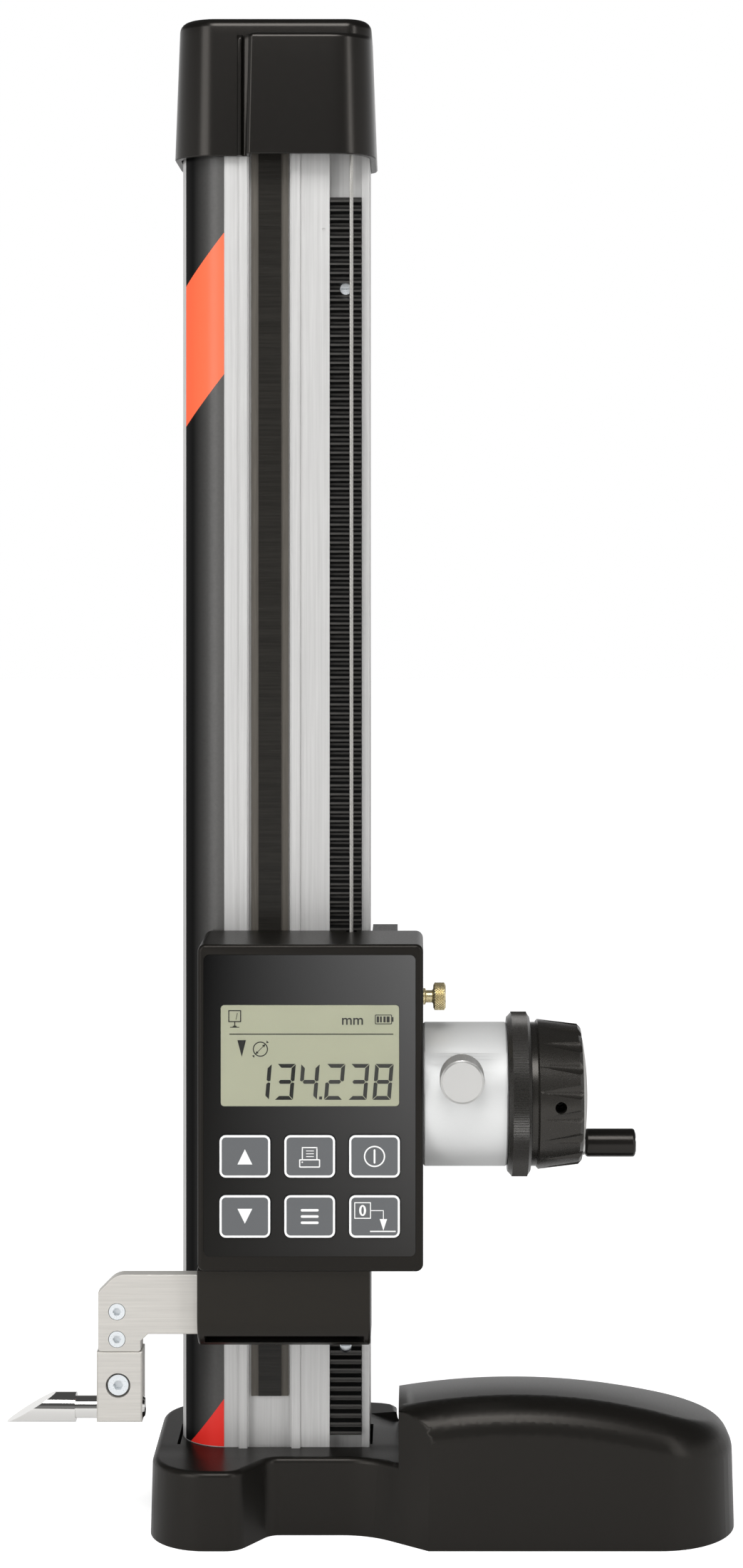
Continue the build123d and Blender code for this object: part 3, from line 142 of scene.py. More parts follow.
def makeLamp(name, lamp):
    data = bpy.data.lights.new(name, "AREA")
    data.energy = lamp["power"]
    data.size = lamp["width"]
    if "height" in lamp:
        data.shape = "RECTANGLE"
        data.size_y = lamp["height"]
    box = bpy.data.objects.new(name, data)
    box.location = lamp["place"]
    aim = Vector(lamp["target"]) - Vector(lamp["place"])
    box.rotation_euler = aim.to_track_quat("-Z", "Y").to_euler()
    scene.collection.objects.link(box)


makeCamera()
makeWorld()
for lampName, lamp in lamps.items():
    makeLamp(lampName, lamp)
print("studio ready")


def newMaterial(name):
    material = bpy.data.materials.new(name)
    material.use_nodes = True
    tree = material.node_tree
    tree.nodes.clear()
    shader = tree.nodes.new("ShaderNodeBsdfPrincipled")
    addNode(tree, "ShaderNodeOutputMaterial", shader.outputs[0])
    return material, tree, shader


def objectPattern(tree, stretch=(1, 1, 1)):
    place = tree.nodes.new("ShaderNodeTexCoord")
    return addNode(tree, "ShaderNodeMapping", Vector=place.outputs["Object"], Scale=stretch).outputs[0]


def noiseOf(tree, vector, scale, detail=2.0, rough=0.5):
    noise = addNode(tree, "ShaderNodeTexNoise", Vector=vector, Scale=scale, Detail=detail, Roughness=rough)
    return noise.outputs["Fac"]


def mixColors(tree, factor, first, second):
    mix = tree.nodes.new("ShaderNodeMix")
    mix.data_type = "RGBA"
    for place, value in ((0, factor), (6, first), (7, second)):
        setInput(mix, place, (*value, 1) if isinstance(value, tuple) else value)
    return mix.outputs[2]


surfaceDefaults = {
    "mottle": 1.12, "mottleScale": 30, "streak": 0, "streakScale": 1500, "stretch": (1, 1, 1), "grainScale": 2500,
    "roughSpread": 0.08, "bump": 0.1, "bumpDepth": 0.00005, "metallic": 0, "specular": 0.5, "sheen": (1, 1, 1),
}


def finishMaterial(name, changes):
    # one surface: a base tone with soft mottling, fine grain in the roughness and a small bump
    material, tree, shader = newMaterial(name)
    spec = {**surfaceDefaults, **changes}
    dark = spec["color"]
    light = tuple(min(1, c * spec["mottle"]) for c in dark)
    tone = mixColors(tree, noiseOf(tree, objectPattern(tree), spec["mottleScale"], 3), dark, light)
    if spec["streak"]:
        drawn = noiseOf(tree, objectPattern(tree, spec["stretch"]), spec["streakScale"], 4, 0.65)
        worn = tuple(c * (1 - spec["streak"]) for c in dark)
        tone = mixColors(tree, rangeOf(tree, drawn, 0.35, 0.65, 0, 1), worn, tone)
    grain = noiseOf(tree, objectPattern(tree, spec["stretch"]), spec["grainScale"], 3, 0.6)
    bump = addNode(tree, "ShaderNodeBump", Strength=spec["bump"], Distance=spec["bumpDepth"], Height=grain)
    rough, spread = spec["roughness"], spec["roughSpread"]
    fill(
        shader, Base_Color=tone, Roughness=rangeOf(tree, grain, 0.3, 0.7, rough - spread, rough + spread),
        Normal=bump.outputs[0], Metallic=spec["metallic"], Specular_IOR_Level=spec["specular"],
        Specular_Tint=(*spec["sheen"], 1))
    return material


surfaces = {
    "basePaint": {
        "color": (0.0058, 0.0053, 0.0046), "roughness": 0.34, "roughSpread": 0.02, "grainScale": 1800, "bump": 0.04,
        "specular": 0.3, "sheen": (1, 0.94, 0.87),
    },
    "columnMetal": {
        "color": (0.585, 0.58, 0.572), "metallic": 0.4, "roughness": 0.42, "stretch": (1, 1, 0.015),
        "grainScale": 5000, "bump": 0.12, "mottle": 1.05, "streak": 0.1, "streakScale": 1300,
    },
    "blackSteel": {
        "color": (0.006, 0.006, 0.006), "roughness": 0.4, "stretch": (0.05, 1, 1), "grainScale": 4000, "specular": 0.2,
    },
    # a lighter copy of the black steel for the rack's forward-facing faces: a painted highlight
    "rackPaintedHighlight": {
        "color": (0.045, 0.043, 0.04), "metallic": 0.2, "roughness": 0.42, "stretch": (0.05, 1, 1),
        "grainScale": 4000, "specular": 0.3,
    },
    "turnedSteel": {
        "color": (0.6, 0.595, 0.58), "metallic": 0.7, "roughness": 0.32, "roughSpread": 0.04, "grainScale": 3000,
    },
    "screwZinc": {
        "color": (0.68, 0.71, 0.73), "metallic": 0.5, "roughness": 0.3, "roughSpread": 0.04, "grainScale": 3000,
    },
    "grubSteel": {"color": (0.09, 0.088, 0.085), "metallic": 0.5, "roughness": 0.35, "specular": 0.4, "bump": 0.02},
    "scaleMetal": {
        "color": (0.11, 0.1, 0.086), "metallic": 0.2, "roughness": 0.4, "stretch": (1, 1, 0.05),
        "grainScale": 4000, "specular": 0.25, "streak": 0.15,
    },
    "scaleGlass": {
        "color": (0.02, 0.0185, 0.016), "roughness": 0.22, "stretch": (0.03, 1, 1), "grainScale": 2200,
        "bump": 0.3, "roughSpread": 0.06, "specular": 0.2, "streak": 0.35,
    },
    "capPlastic": {
        "color": (0.0045, 0.0042, 0.0037), "roughness": 0.25, "grainScale": 1500, "specular": 0.38,
        "sheen": (1, 0.94, 0.88), "roughSpread": 0.02, "bump": 0.03,
    },
    "capTop": {
        "color": (0.006, 0.0056, 0.005), "roughness": 0.62, "grainScale": 1500, "specular": 0.12,
        "roughSpread": 0.04, "bump": 0.2,
    },
    "castMetal": {"color": (0.02, 0.019, 0.018), "roughness": 0.42, "grainScale": 1500, "specular": 0.4},
    "weightIron": {"color": (0.2, 0.2, 0.2), "metallic": 0.8, "roughness": 0.5, "grainScale": 900, "bump": 0.4},
    "padPlastic": {"color": (0.75, 0.72, 0.62), "roughness": 0.4},
    "housingPlastic": {
        "color": (0.0065, 0.0059, 0.005), "roughness": 0.34, "roughSpread": 0.04, "grainScale": 2600,
        "bump": 0.15, "specular": 0.22, "sheen": (1, 0.93, 0.86),
    },
    "lcdGreen": {"color": (0.425, 0.433, 0.315), "roughness": 0.35, "mottle": 1.06, "specular": 0.2},
    "boardGreen": {"color": (0.02, 0.12, 0.05), "roughness": 0.35},
    "switchBlack": {"color": (0.03, 0.03, 0.03), "roughness": 0.5},
    "nickel": {"color": (0.7, 0.69, 0.66), "metallic": 1, "roughness": 0.2},
    "keyGrey": {"color": (0.112, 0.116, 0.121), "roughness": 0.4, "grainScale": 3000, "specular": 0.25, "mottle": 1.04},
    "printWhite": {"color": (0.82, 0.82, 0.81), "roughness": 0.45, "mottle": 1.02, "specular": 0.3},
    "lcdInk": {"color": (0.006, 0.006, 0.004), "roughness": 0.4, "specular": 0.2},
    "lcdInkSoft": {"color": (0.035, 0.035, 0.031), "roughness": 0.4, "specular": 0.2},
    "coverPlastic": {
        "color": (0.0075, 0.0067, 0.0054), "roughness": 0.34, "roughSpread": 0.04, "grainScale": 2600,
        "bump": 0.15, "specular": 0.3, "sheen": (1, 0.93, 0.84),
    },
    "armSteel": {
        "color": (0.56, 0.54, 0.505), "metallic": 0.4, "roughness": 0.38, "stretch": (0.02, 1, 1),
        "grainScale": 4500, "bump": 0.06, "streak": 0.05,
    },
    "insertChrome": {
        "color": (0.72, 0.71, 0.69), "metallic": 1, "roughness": 0.07, "roughSpread": 0.02, "bump": 0.02,
    },
    "bronze": {"color": (0.45, 0.28, 0.13), "metallic": 1, "roughness": 0.4},
    "sleeveMetal": {
        "color": (0.69, 0.695, 0.69), "metallic": 0.35, "roughness": 0.5, "stretch": (0.3, 1, 1), "grainScale": 3500,
        "bump": 0.04,
    },
    "ringMetal": {"color": (0.036, 0.034, 0.031), "metallic": 0.4, "roughness": 0.3, "specular": 0.5, "bump": 0.03},
    "wheelPlastic": {
        "color": (0.0125, 0.0116, 0.0102), "roughness": 0.28, "roughSpread": 0.03, "specular": 0.5, "bump": 0.04,
        "sheen": (1, 0.95, 0.89),
    },
    "coverGrey": {"color": (0.4, 0.392, 0.375), "roughness": 0.4, "specular": 0.3},
    "brassTurned": {"color": (0.74, 0.63, 0.37), "metallic": 0.8, "roughness": 0.28, "roughSpread": 0.04, "bump": 0.03},
    "wireSteel": {"color": (0.42, 0.41, 0.39), "metallic": 0.7, "roughness": 0.35},
}
finishes = {name: finishMaterial(name, changes) for name, changes in surfaces.items()}
windowGlass = {"roughness": 0.06, "bend": 1.3}


def makeWindowGlass():
    material, _, shader = newMaterial("windowGlass")
    fill(
        shader, Base_Color=(1, 1, 1, 1), Roughness=windowGlass["roughness"], Transmission_Weight=1,
        IOR=windowGlass["bend"])
    return material


def blendAlong(tree, axis, low, high):
    # 0 at low and 1 at high along one axis of the object, in millimetres
    return rangeOf(tree, axesOf(tree, "Object")[axis], low * mm, high * mm, 0, 1)


# the panel's colours are a painted reflection, dark at the left and lighter towards the upper right
panelPaintedReflection = {
    "topLeft": (0.0025, 0.0025, 0.0025), "topRight": (0.086, 0.086, 0.086),
    "lowLeft": (0.011, 0.0105, 0.0095), "lowRight": (0.033, 0.032, 0.031),
    "sides": (-22, 49), "heights": (103, 203), "grainScale": 2200, "roughness": (0.16, 0.22), "specular": 0.07,
}


def makePanelGloss():
    # a glossy film whose colour carries a painted reflection: lighter towards its upper right, darker towards its left
    # and its foot
    material, tree, shader = newMaterial("panelGloss")
    across = blendAlong(tree, 0, *panelPaintedReflection["sides"])
    upward = blendAlong(tree, 2, *panelPaintedReflection["heights"])
    top = mixColors(tree, across, panelPaintedReflection["topLeft"], panelPaintedReflection["topRight"])
    low = mixColors(tree, across, panelPaintedReflection["lowLeft"], panelPaintedReflection["lowRight"])
    grain = noiseOf(tree, objectPattern(tree), panelPaintedReflection["grainScale"], 2)
    fill(
        shader, Base_Color=mixColors(tree, upward, low, top), Specular_IOR_Level=panelPaintedReflection["specular"],
        Roughness=rangeOf(tree, grain, 0.3, 0.7, *panelPaintedReflection["roughness"]))
    return material


# the grey towards the foil's right is a painted highlight; the red band and the red foot are print
foilPrintAndPaintedHighlight = {
    "black": (0.005, 0.005, 0.005), "satin": (0.075, 0.073, 0.07), "paintedHighlightSides": (-28.5, -20.5),
    "red": (0.93, 0.14, 0.06), "slant": 1.3, "leftEdge": -31.2, "bandLow": 383.8, "bandHigh": 433.2,
    "redFoot": (0.78, 0.03, 0.022), "footSlant": 1.38, "footLow": -100, "footHigh": 24.6,
    "grainScale": 900, "roughness": (0.28, 0.32), "sheenSides": (-29, -22), "sheen": (0.03, 0.3),
}


def makeFoilPrintAndPaintedHighlight():
    # black satin film with a slanted red band and a red corner at its foot; its black is painted lighter grey towards
    # its right, a painted highlight
    material, tree, shader = newMaterial("foilPrintAndPaintedHighlight")
    axes = axesOf(tree, "Object")

    def bandBetween(slant, low, high):
        height = mathOf(tree, "MULTIPLY_ADD", axes[0], -slant, axes[2])
        above = mathOf(tree, "GREATER_THAN", height, (low - slant * foilPrintAndPaintedHighlight["leftEdge"]) * mm)
        below = mathOf(tree, "LESS_THAN", height, (high - slant * foilPrintAndPaintedHighlight["leftEdge"]) * mm)
        return mathOf(tree, "MULTIPLY", above, below)

    # painted highlight: the black turns lighter grey towards the foil's right
    satin = mixColors(tree, blendAlong(tree, 0, *foilPrintAndPaintedHighlight["paintedHighlightSides"]), foilPrintAndPaintedHighlight["black"], foilPrintAndPaintedHighlight["satin"])
    grain = noiseOf(tree, objectPattern(tree), foilPrintAndPaintedHighlight["grainScale"], 3)
    ground = mixColors(tree, rangeOf(tree, grain, 0.35, 0.75, 0, 0.12), satin, foilPrintAndPaintedHighlight["black"])
    band = bandBetween(foilPrintAndPaintedHighlight["slant"], foilPrintAndPaintedHighlight["bandLow"], foilPrintAndPaintedHighlight["bandHigh"])
    foot = bandBetween(foilPrintAndPaintedHighlight["footSlant"], foilPrintAndPaintedHighlight["footLow"], foilPrintAndPaintedHighlight["footHigh"])
    banded = mixColors(tree, band, ground, foilPrintAndPaintedHighlight["red"])
    fill(
        shader, Base_Color=mixColors(tree, foot, banded, foilPrintAndPaintedHighlight["redFoot"]),
        Roughness=rangeOf(tree, grain, 0.3, 0.7, *foilPrintAndPaintedHighlight["roughness"]),
        Specular_IOR_Level=rangeOf(tree, blendAlong(tree, 0, *foilPrintAndPaintedHighlight["sheenSides"]), 0, 1, *foilPrintAndPaintedHighlight["sheen"]))
    return material


finishes["windowGlass"] = makeWindowGlass()
finishes["panelGloss"] = makePanelGloss()
finishes["foilPrintAndPaintedHighlight"] = makeFoilPrintAndPaintedHighlight()
print("finishes ready")

slotFinish = {
    "base_paint": "basePaint", "column_metal": "columnMetal", "foil": "foilPrintAndPaintedHighlight", "black_steel": "blackSteel",
    "steel": "turnedSteel", "scale_metal": "scaleMetal", "scale_glass": "scaleGlass", "cap_plastic": "capPlastic",
    "pulley_metal": "turnedSteel", "wire": "wireSteel", "weight_iron": "weightIron", "carriage_metal": "castMetal",
    "pad_plastic": "padPlastic", "housing_plastic": "housingPlastic", "panel": "panelGloss", "window": "windowGlass",
    "lcd": "lcdGreen", "board": "boardGreen", "switch": "switchBlack", "battery": "nickel", "key": "keyGrey",
    "cover": "coverPlastic", "arm_steel": "armSteel", "insert_steel": "insertChrome", "bronze": "bronze",
    "sleeve_metal": "sleeveMetal", "ring_metal": "ringMetal", "wheel_plastic": "wheelPlastic",
    "cover_grey": "coverGrey", "brass": "brassTurned",
}
slotOf = {part["node"]: part["material_slot"] for part in frame["record"]["subparts"]}
bodyOf = {node: body for body, nodes in frame["record"]["behaviour"]["bodies"].items() for node in nodes}


def settle(piece, body, replaced=()):
    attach(piece, body)
    if replaced:
        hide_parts(*replaced)
    return piece


def pieceFrom(name, build, finish):
    mesh = bpy.data.meshes.new(name)
    build.to_mesh(mesh)
    build.free()
    mesh.materials.append(finishes[finish])
    piece = bpy.data.objects.new(name, mesh)
    scene.collection.objects.link(piece)
    return piece


def smoothBy(piece, degrees):
    for polygon in piece.data.polygons:
        polygon.use_smooth = True
    piece.data.set_sharp_from_angle(angle=math.radians(degrees))


def bake(piece):
    # applies the live modifiers
    bpy.context.view_layer.update()
    graph = bpy.context.evaluated_depsgraph_get()
    mesh = bpy.data.meshes.new_from_object(piece.evaluated_get(graph))
    piece.modifiers.clear()
    piece.data = mesh
    return piece


hump = {"left": 42.5, "dome": 9.5, "start": -37, "rear": 16, "foot": 18, "peak": 49.3, "cuts": 14}


def domeHump(piece):
    # the palm rest falls away towards its back
    build = bmesh.new()
    build.from_mesh(piece.data)
    for cut in range(hump["cuts"]):
        y = hump["start"] + (hump["rear"] - hump["start"]) * (cut + 0.5) / hump["cuts"]
        bmesh.ops.bisect_plane(
            build, geom=build.verts[:] + build.edges[:] + build.faces[:], dist=1e-7,
            plane_co=(0, y * mm, 0), plane_no=(0, 1, 0))
    for vertex in build.verts:
        x, y, z = (value / mm for value in vertex.co)
        if x > hump["left"] and y > hump["start"] and z > hump["foot"]:
            back = (y - hump["start"]) / (hump["rear"] - hump["start"])
            share = (z - hump["foot"]) / (hump["peak"] - hump["foot"])
            vertex.co.z -= hump["dome"] * back * back * share * mm
    build.to_mesh(piece.data)
    build.free()


easing = {"mergeWithin": 1e-6, "flatWithin": 0.6, "segments": 2, "angle": 35, "faceWeight": 80}
foilEnd = {"from": 475, "to": 481.5}  # the foil's upper end is drawn up under the cap
eased = {  # each node's eased edge, in mm
    "base_casting": 0, "column_profile": 0.15, "housing_shell": 0, "lower_cover": 0.2,
    "measuring_arm": 0.1, "holder_block": 0.1, "carriage_body": 0.6, "handwheel": 0.25, "drive_sleeve": 0,
    "crank_grip": 0, "front_panel": 0.12, "column_foil": 0,
}


def mergedCopy(node):
    # the CAD node's shape again, with its facets joined
    build = bmesh.new()
    build.from_mesh(frame["nodes"][node].data)
    bmesh.ops.remove_doubles(build, verts=build.verts, dist=easing["mergeWithin"])
    bmesh.ops.dissolve_limit(
        build, angle_limit=math.radians(easing["flatWithin"]), verts=build.verts, edges=build.edges)
    return build


def dressNode(node, bevel):
    piece = pieceFrom(node + "Dressed", mergedCopy(node), slotFinish[slotOf[node]])
    smoothBy(piece, easing["angle"])
    if bevel:
        soften = piece.modifiers.new("soften", "BEVEL")
        soften.width = bevel * mm
        soften.segments = easing["segments"]
        soften.limit_method = "ANGLE"
        soften.angle_limit = math.radians(easing["angle"])
    weigh = piece.modifiers.new("weigh", "WEIGHTED_NORMAL")
    weigh.keep_sharp = True
    weigh.weight = easing["faceWeight"]
    if node == "base_casting":
        domeHump(piece)
    bake(piece)
    if node == "column_foil":
        for vertex in piece.data.vertices:
            if vertex.co.z > foilEnd["from"] * mm:
                vertex.co.z = foilEnd["to"] * mm
    settle(piece, bodyOf[node], [node])


for node, bevel in eased.items():
    dressNode(node, bevel)
print("nodes dressed")


# outlines are in millimetres, x to the right and z up
def rounded(left, right, low, high, radius, steps=6):
    points = []
    corners = ((right - radius, low + radius, -90), (right - radius, high - radius, 0),
               (left + radius, high - radius, 90), (left + radius, low + radius, 180))
    for cornerX, cornerZ, turn in corners:
        for step in range(steps + 1):
            angle = math.radians(turn + 90 * step / steps)
            points.append((cornerX + radius * math.cos(angle), cornerZ + radius * math.sin(angle)))
    return points


def circle(centerX, centerZ, radius, steps=40):
    turns = (2 * math.pi * step / steps for step in range(steps))
    return [(centerX + radius * math.cos(turn), centerZ + radius * math.sin(turn)) for turn in turns]


def stroke(startX, startZ, endX, endZ, width):
    length = math.hypot(endX - startX, endZ - startZ)
    sideX = -(endZ - startZ) / length * width / 2
    sideZ = (endX - startX) / length * width / 2
    return [(startX - sideX, startZ - sideZ), (endX - sideX, endZ - sideZ),
            (endX + sideX, endZ + sideZ), (startX + sideX, startZ + sideZ)]


def addPlate(build, outline, front, depth):
    fronts = [build.verts.new((x * mm, front * mm, z * mm)) for x, z in outline]
    backs = [build.verts.new((x * mm, (front + depth) * mm, z * mm)) for x, z in outline]
    build.faces.new(fronts)
    build.faces.new(backs[::-1])
    for place in range(len(outline)):
        after = (place + 1) % len(outline)
        build.faces.new((fronts[after], fronts[place], backs[place], backs[after]))


def addFrame(build, outer, inner, front, depth):
    # a flat band between two outlines with as many points each
    rings = []
    for outline in (outer, inner):
        for y in (front, front + depth):
            rings.append([build.verts.new((x * mm, y * mm, z * mm)) for x, z in outline])
    outerFront, outerBack, innerFront, innerBack = rings
    for place in range(len(outer)):
        after = (place + 1) % len(outer)
        build.faces.new((outerFront[place], outerFront[after], innerFront[after], innerFront[place]))
        build.faces.new((outerBack[after], outerBack[place], innerBack[place], innerBack[after]))
        build.faces.new((outerFront[after], outerFront[place], outerBack[place], outerBack[after]))
        build.faces.new((innerFront[place], innerFront[after], innerBack[after], innerBack[place]))


def marksPiece(name, plates, frames, front, depth, finish, body):
    build = bmesh.new()
    for outline in plates:
        addPlate(build, outline, front, depth)
    for outer, inner in frames:
        addFrame(build, outer, inner, front, depth)
    bmesh.ops.recalc_face_normals(build, faces=build.faces)
    return settle(pieceFrom(name, build, finish), body)


display = {
    "front": -56.24, "depth": 0.05, "face": -56.19, "faceDepth": 0.7, "measuredAt": -53.63,
    "left": -16.25, "right": 43.75, "low": 152.85, "high": 186.85, "corner": 1.2,
    "digitLow": 154.47, "digitHeight": 12.12, "digitWidth": 6.2, "barWidth": 1.3, "lean": 0.083, "gap": 0.14,
    "darkDigits": (("1", -6.4), ("3", 1.69)),
    "softDigits": (("4", 9.77), ("2", 18.4), ("3", 26.56), ("8", 34.72)),
}
segmentsOf = {"1": "bc", "2": "abged", "3": "abgcd", "4": "fgbc", "8": "abcdefg"}


def digitPlates(digit, left):
    width, height, bar, gap = (display[key] for key in ("digitWidth", "digitHeight", "barWidth", "gap"))
    middle = height / 2
    top = [(gap, height), (bar + gap, height - bar), (width - bar - gap, height - bar), (width - gap, height)]
    upper = [
        (width, height - gap), (width - bar, height - bar - gap), (width - bar, middle + bar / 2),
        (width - bar / 2, middle + gap), (width, middle + gap + bar / 5),
    ]
    center = [
        (bar * 0.6 + gap, middle), (bar + gap, middle - bar / 2), (width - bar - gap, middle - bar / 2),
        (width - bar * 0.6 - gap, middle), (width - bar - gap, middle + bar / 2), (bar + gap, middle + bar / 2),
    ]
    shapes = {"a": top, "b": upper, "g": center}
    shapes["d"] = [(x, height - z) for x, z in top[::-1]]
    shapes["c"] = [(x, height - z) for x, z in upper[::-1]]
    shapes["f"] = [(width - x, z) for x, z in upper[::-1]]
    shapes["e"] = [(width - x, height - z) for x, z in upper]
    plates = []
    for letter in segmentsOf[digit]:
        plates.append([(left + x + display["lean"] * z, display["digitLow"] + z) for x, z in shapes[letter]])
    return plates


def digitRow(digits):
    return [plate for digit, left in digits for plate in digitPlates(digit, left)]


darkPlates = digitRow(display["darkDigits"]) + [
    [(-10.83, 174.6), (-9.35, 168.92), (-7.95, 174.6)],  # probe
    stroke(-13.55, 176.62, 41.79, 176.62, 0.32),  # rule
    stroke(-11.7, 180.7, -11.7, 179.3, 0.3),  # screen on its stand
    stroke(-13.3, 178.95, -10.2, 178.95, 0.24),
    [(-12.5, 179.15), (-10.95, 179.15), (-11.3, 179.5), (-12.1, 179.5)],
    stroke(-10.83, 183.77, -11.3, 181.5, 0.2),
    stroke(-4.2, 170.43, -1.92, 172.71, 0.22),  # diameter sign and its arrows
    [(-4.75, 169.88), (-3.65, 170.25), (-4.38, 170.98)],
    [(-1.37, 173.26), (-2.47, 172.89), (-1.74, 172.16)],
    [(-0.95, 174.5), (-0.2, 173.75), (-1.05, 173.6)],
    [(-5.15, 168.65), (-5.9, 169.4), (-5.05, 169.55)],
]
darkFrames = [
    (rounded(-13.9, -9.55, 180.7, 184.74, 0.1, 1), rounded(-13.55, -9.9, 181.05, 184.39, 0.05, 1)),
    (circle(-3.06, 171.57, 2.55), circle(-3.06, 171.57, 2.2)),
]
softPlates = digitRow(display["softDigits"]) + [
    [(16.7, 154.6), (17.7, 154.6), (17.8, 155.6), (16.8, 155.6)],  # point
    [(36.2, 180.6), (36.95, 180.6), (36.95, 182.6), (36.2, 182.6)],  # battery and its bars
    [(37.3, 180.6), (37.92, 180.6), (37.92, 182.6), (37.3, 182.6)],
    [(38.45, 180.6), (39.2, 180.6), (39.2, 182.6), (38.45, 182.6)],
    [(39.55, 180.6), (40.55, 180.6), (40.55, 182.6), (39.55, 182.6)],
    [(41.35, 180.8), (41.85, 180.8), (41.85, 182.4), (41.35, 182.4)],
]
softFrames = [(rounded(35.6, 41.35, 179.96, 183.22, 0.3, 3), rounded(35.87, 41.08, 180.23, 182.95, 0.15, 3))]


def carriedForward(outline):
    # the same place in the front view, on the display's face
    eyeX, eyeY, eyeZ = (value / mm for value in studio["cameraPlace"])
    share = (display["front"] - eyeY) / (display["measuredAt"] - eyeY)
    return [(eyeX + (x - eyeX) * share, eyeZ + (z - eyeZ) * share) for x, z in outline]


def makeDisplayMarks():
    for name, plates, frames, finish in (
            ("displayDarkMarks", darkPlates, darkFrames, "lcdInk"),
            ("displaySoftMarks", softPlates, softFrames, "lcdInkSoft")):
        plates = [carriedForward(outline) for outline in plates]
        frames = [(carriedForward(outer), carriedForward(inner)) for outer, inner in frames]
        marksPiece(name, plates, frames, display["front"], display["depth"], finish, "carriage")


def makeDisplayFace():
    face = rounded(*(display[key] for key in ("left", "right", "low", "high", "corner")))
    marksPiece("displayFace", [face], [], display["face"], display["faceDepth"], "lcdGreen", "carriage")


unitMark = {"word": "mm", "size": 4.9, "left": 24.3, "low": 180.3, "front": -56.22, "thick": 0.03, "bold": 0.05}


def makeUnitMark():
    curve = bpy.data.curves.new("unitMark", "FONT")
    curve.body = unitMark["word"]
    curve.size = unitMark["size"] * mm
    curve.extrude = unitMark["thick"] * mm
    curve.offset = unitMark["bold"] * mm
    holder = bpy.data.objects.new("unitMarkCurve", curve)
    scene.collection.objects.link(holder)
    bpy.context.view_layer.update()
    mesh = bpy.data.meshes.new_from_object(holder.evaluated_get(bpy.context.evaluated_depsgraph_get()))
    bpy.data.objects.remove(holder)
    place = Matrix.Translation((unitMark["left"] * mm, unitMark["front"] * mm, unitMark["low"] * mm))
    mesh.transform(place @ Matrix.Rotation(math.radians(90), 4, "X"))
    mesh.materials.clear()
    mesh.materials.append(finishes["lcdInkSoft"])
    piece = bpy.data.objects.new("unitMark", mesh)
    scene.collection.objects.link(piece)
    settle(piece, "carriage")


makeDisplayMarks()
makeUnitMark()
makeDisplayFace()
print("display ready")

keyPrint = {
    "columns": (-8.1, 13.7, 35.5), "rows": (136.1, 115.9), "width": 17.2, "height": 14.4, "edge": 0.08,
    "line": 0.72, "corner": 2.1, "front": -56.93, "depth": 0.25,
}
keyNames = ("key_up", "key_print", "key_power", "key_down", "key_function", "key_zero")
keyPlates = {  # solid signs round each key's middle
    "key_up": [[(-2.5, -2.7), (2.5, -2.7), (0, 2.4)]],
    "key_down": [[(-2.5, 2.6), (0, -2.4), (2.5, 2.6)]],
    "key_power": [rounded(-0.3, 0.3, -2.4, 2.4, 0.28, 3)],
    "key_print": [
        stroke(-2.48, -1.0, -2.48, 3.0, 0.36), stroke(2.43, -1.0, 2.43, 3.0, 0.36),
        stroke(-2.66, 3.0, 2.61, 3.0, 0.36), stroke(-1.2, 1.86, 1.4, 1.86, 0.24), stroke(-1.2, 0.9, 1.4, 0.9, 0.24),
        stroke(-1.2, -0.05, 1.4, -0.05, 0.24), circle(-2.5, -1.95, 0.25, 12)],
    "key_function": [rounded(-3.0, 3.0, z - 0.42, z + 0.42, 0.4, 4) for z in (-2.1, 0, 2.1)],
    "key_zero": [
        stroke(-1.2, 1.98, 3.1, 1.98, 0.26), stroke(2.98, 1.9, 2.98, -1.0, 0.26),
        [(1.74, -0.85), (2.98, -4.7), (4.22, -0.85)], stroke(-1.5, -5.0, 7.1, -5.0, 0.42)],
}
keyFrames = {  # ring signs, each an outer and an inner outline
    "key_power": [(circle(0, 0, 3.58), circle(0, 0, 3.12))],
    "key_print": [(rounded(-3.55, 3.5, -3.75, -0.93, 0.3, 3), rounded(-3.17, 3.12, -3.37, -1.31, 0.1, 3))],
    "key_zero": [
        (rounded(-6.8, -1.2, -0.75, 4.8, 0.1, 1), rounded(-6.5, -1.5, -0.45, 4.5, 0.05, 1)),
        ([(x * 0.63 - 1.48, z) for x, z in circle(-4.0, 2.03, 1.85)],
         [(x * 0.36 - 2.56, (z - 2.03) * 1.1 + 2.03) for x, z in circle(-4.0, 2.03, 1.2)])],
}


def makeKeyPrint(name, keyX, keyZ):
    halfWidth = keyPrint["width"] / 2 - keyPrint["edge"]
    halfHeight = keyPrint["height"] / 2 - keyPrint["edge"]
    line, corner = keyPrint["line"], keyPrint["corner"]
    outer = rounded(-halfWidth, halfWidth, -halfHeight, halfHeight, corner)
    inner = rounded(line - halfWidth, halfWidth - line, line - halfHeight, halfHeight - line, corner - line)

    def moved(outline):
        return [(keyX + x, keyZ + z) for x, z in outline]

    plates = [moved(outline) for outline in keyPlates[name]]
    frames = [(moved(outer), moved(inner)) for outer, inner in [(outer, inner)] + keyFrames.get(name, [])]
    marksPiece(name + "Print", plates, frames, keyPrint["front"], keyPrint["depth"], "printWhite", name)


for place, keyName in enumerate(keyNames):
    makeKeyPrint(keyName, keyPrint["columns"][place % 3], keyPrint["rows"][place // 3])
print("key prints ready")


rack = {"crestFacing": -0.95}


def makeRack():
    # the crests and roots that face forward get a lighter copy of the black steel, a painted highlight, against the
    # flanks
    piece = pieceFrom("rackTeeth", mergedCopy("rack"), "blackSteel")
    piece.data.materials.append(finishes["rackPaintedHighlight"])
    for polygon in piece.data.polygons:
        # faces that look forward take the painted highlight
        if polygon.normal.y < rack["crestFacing"]:
            polygon.material_index = 1
    settle(piece, "stand", ["rack"])


makeRack()


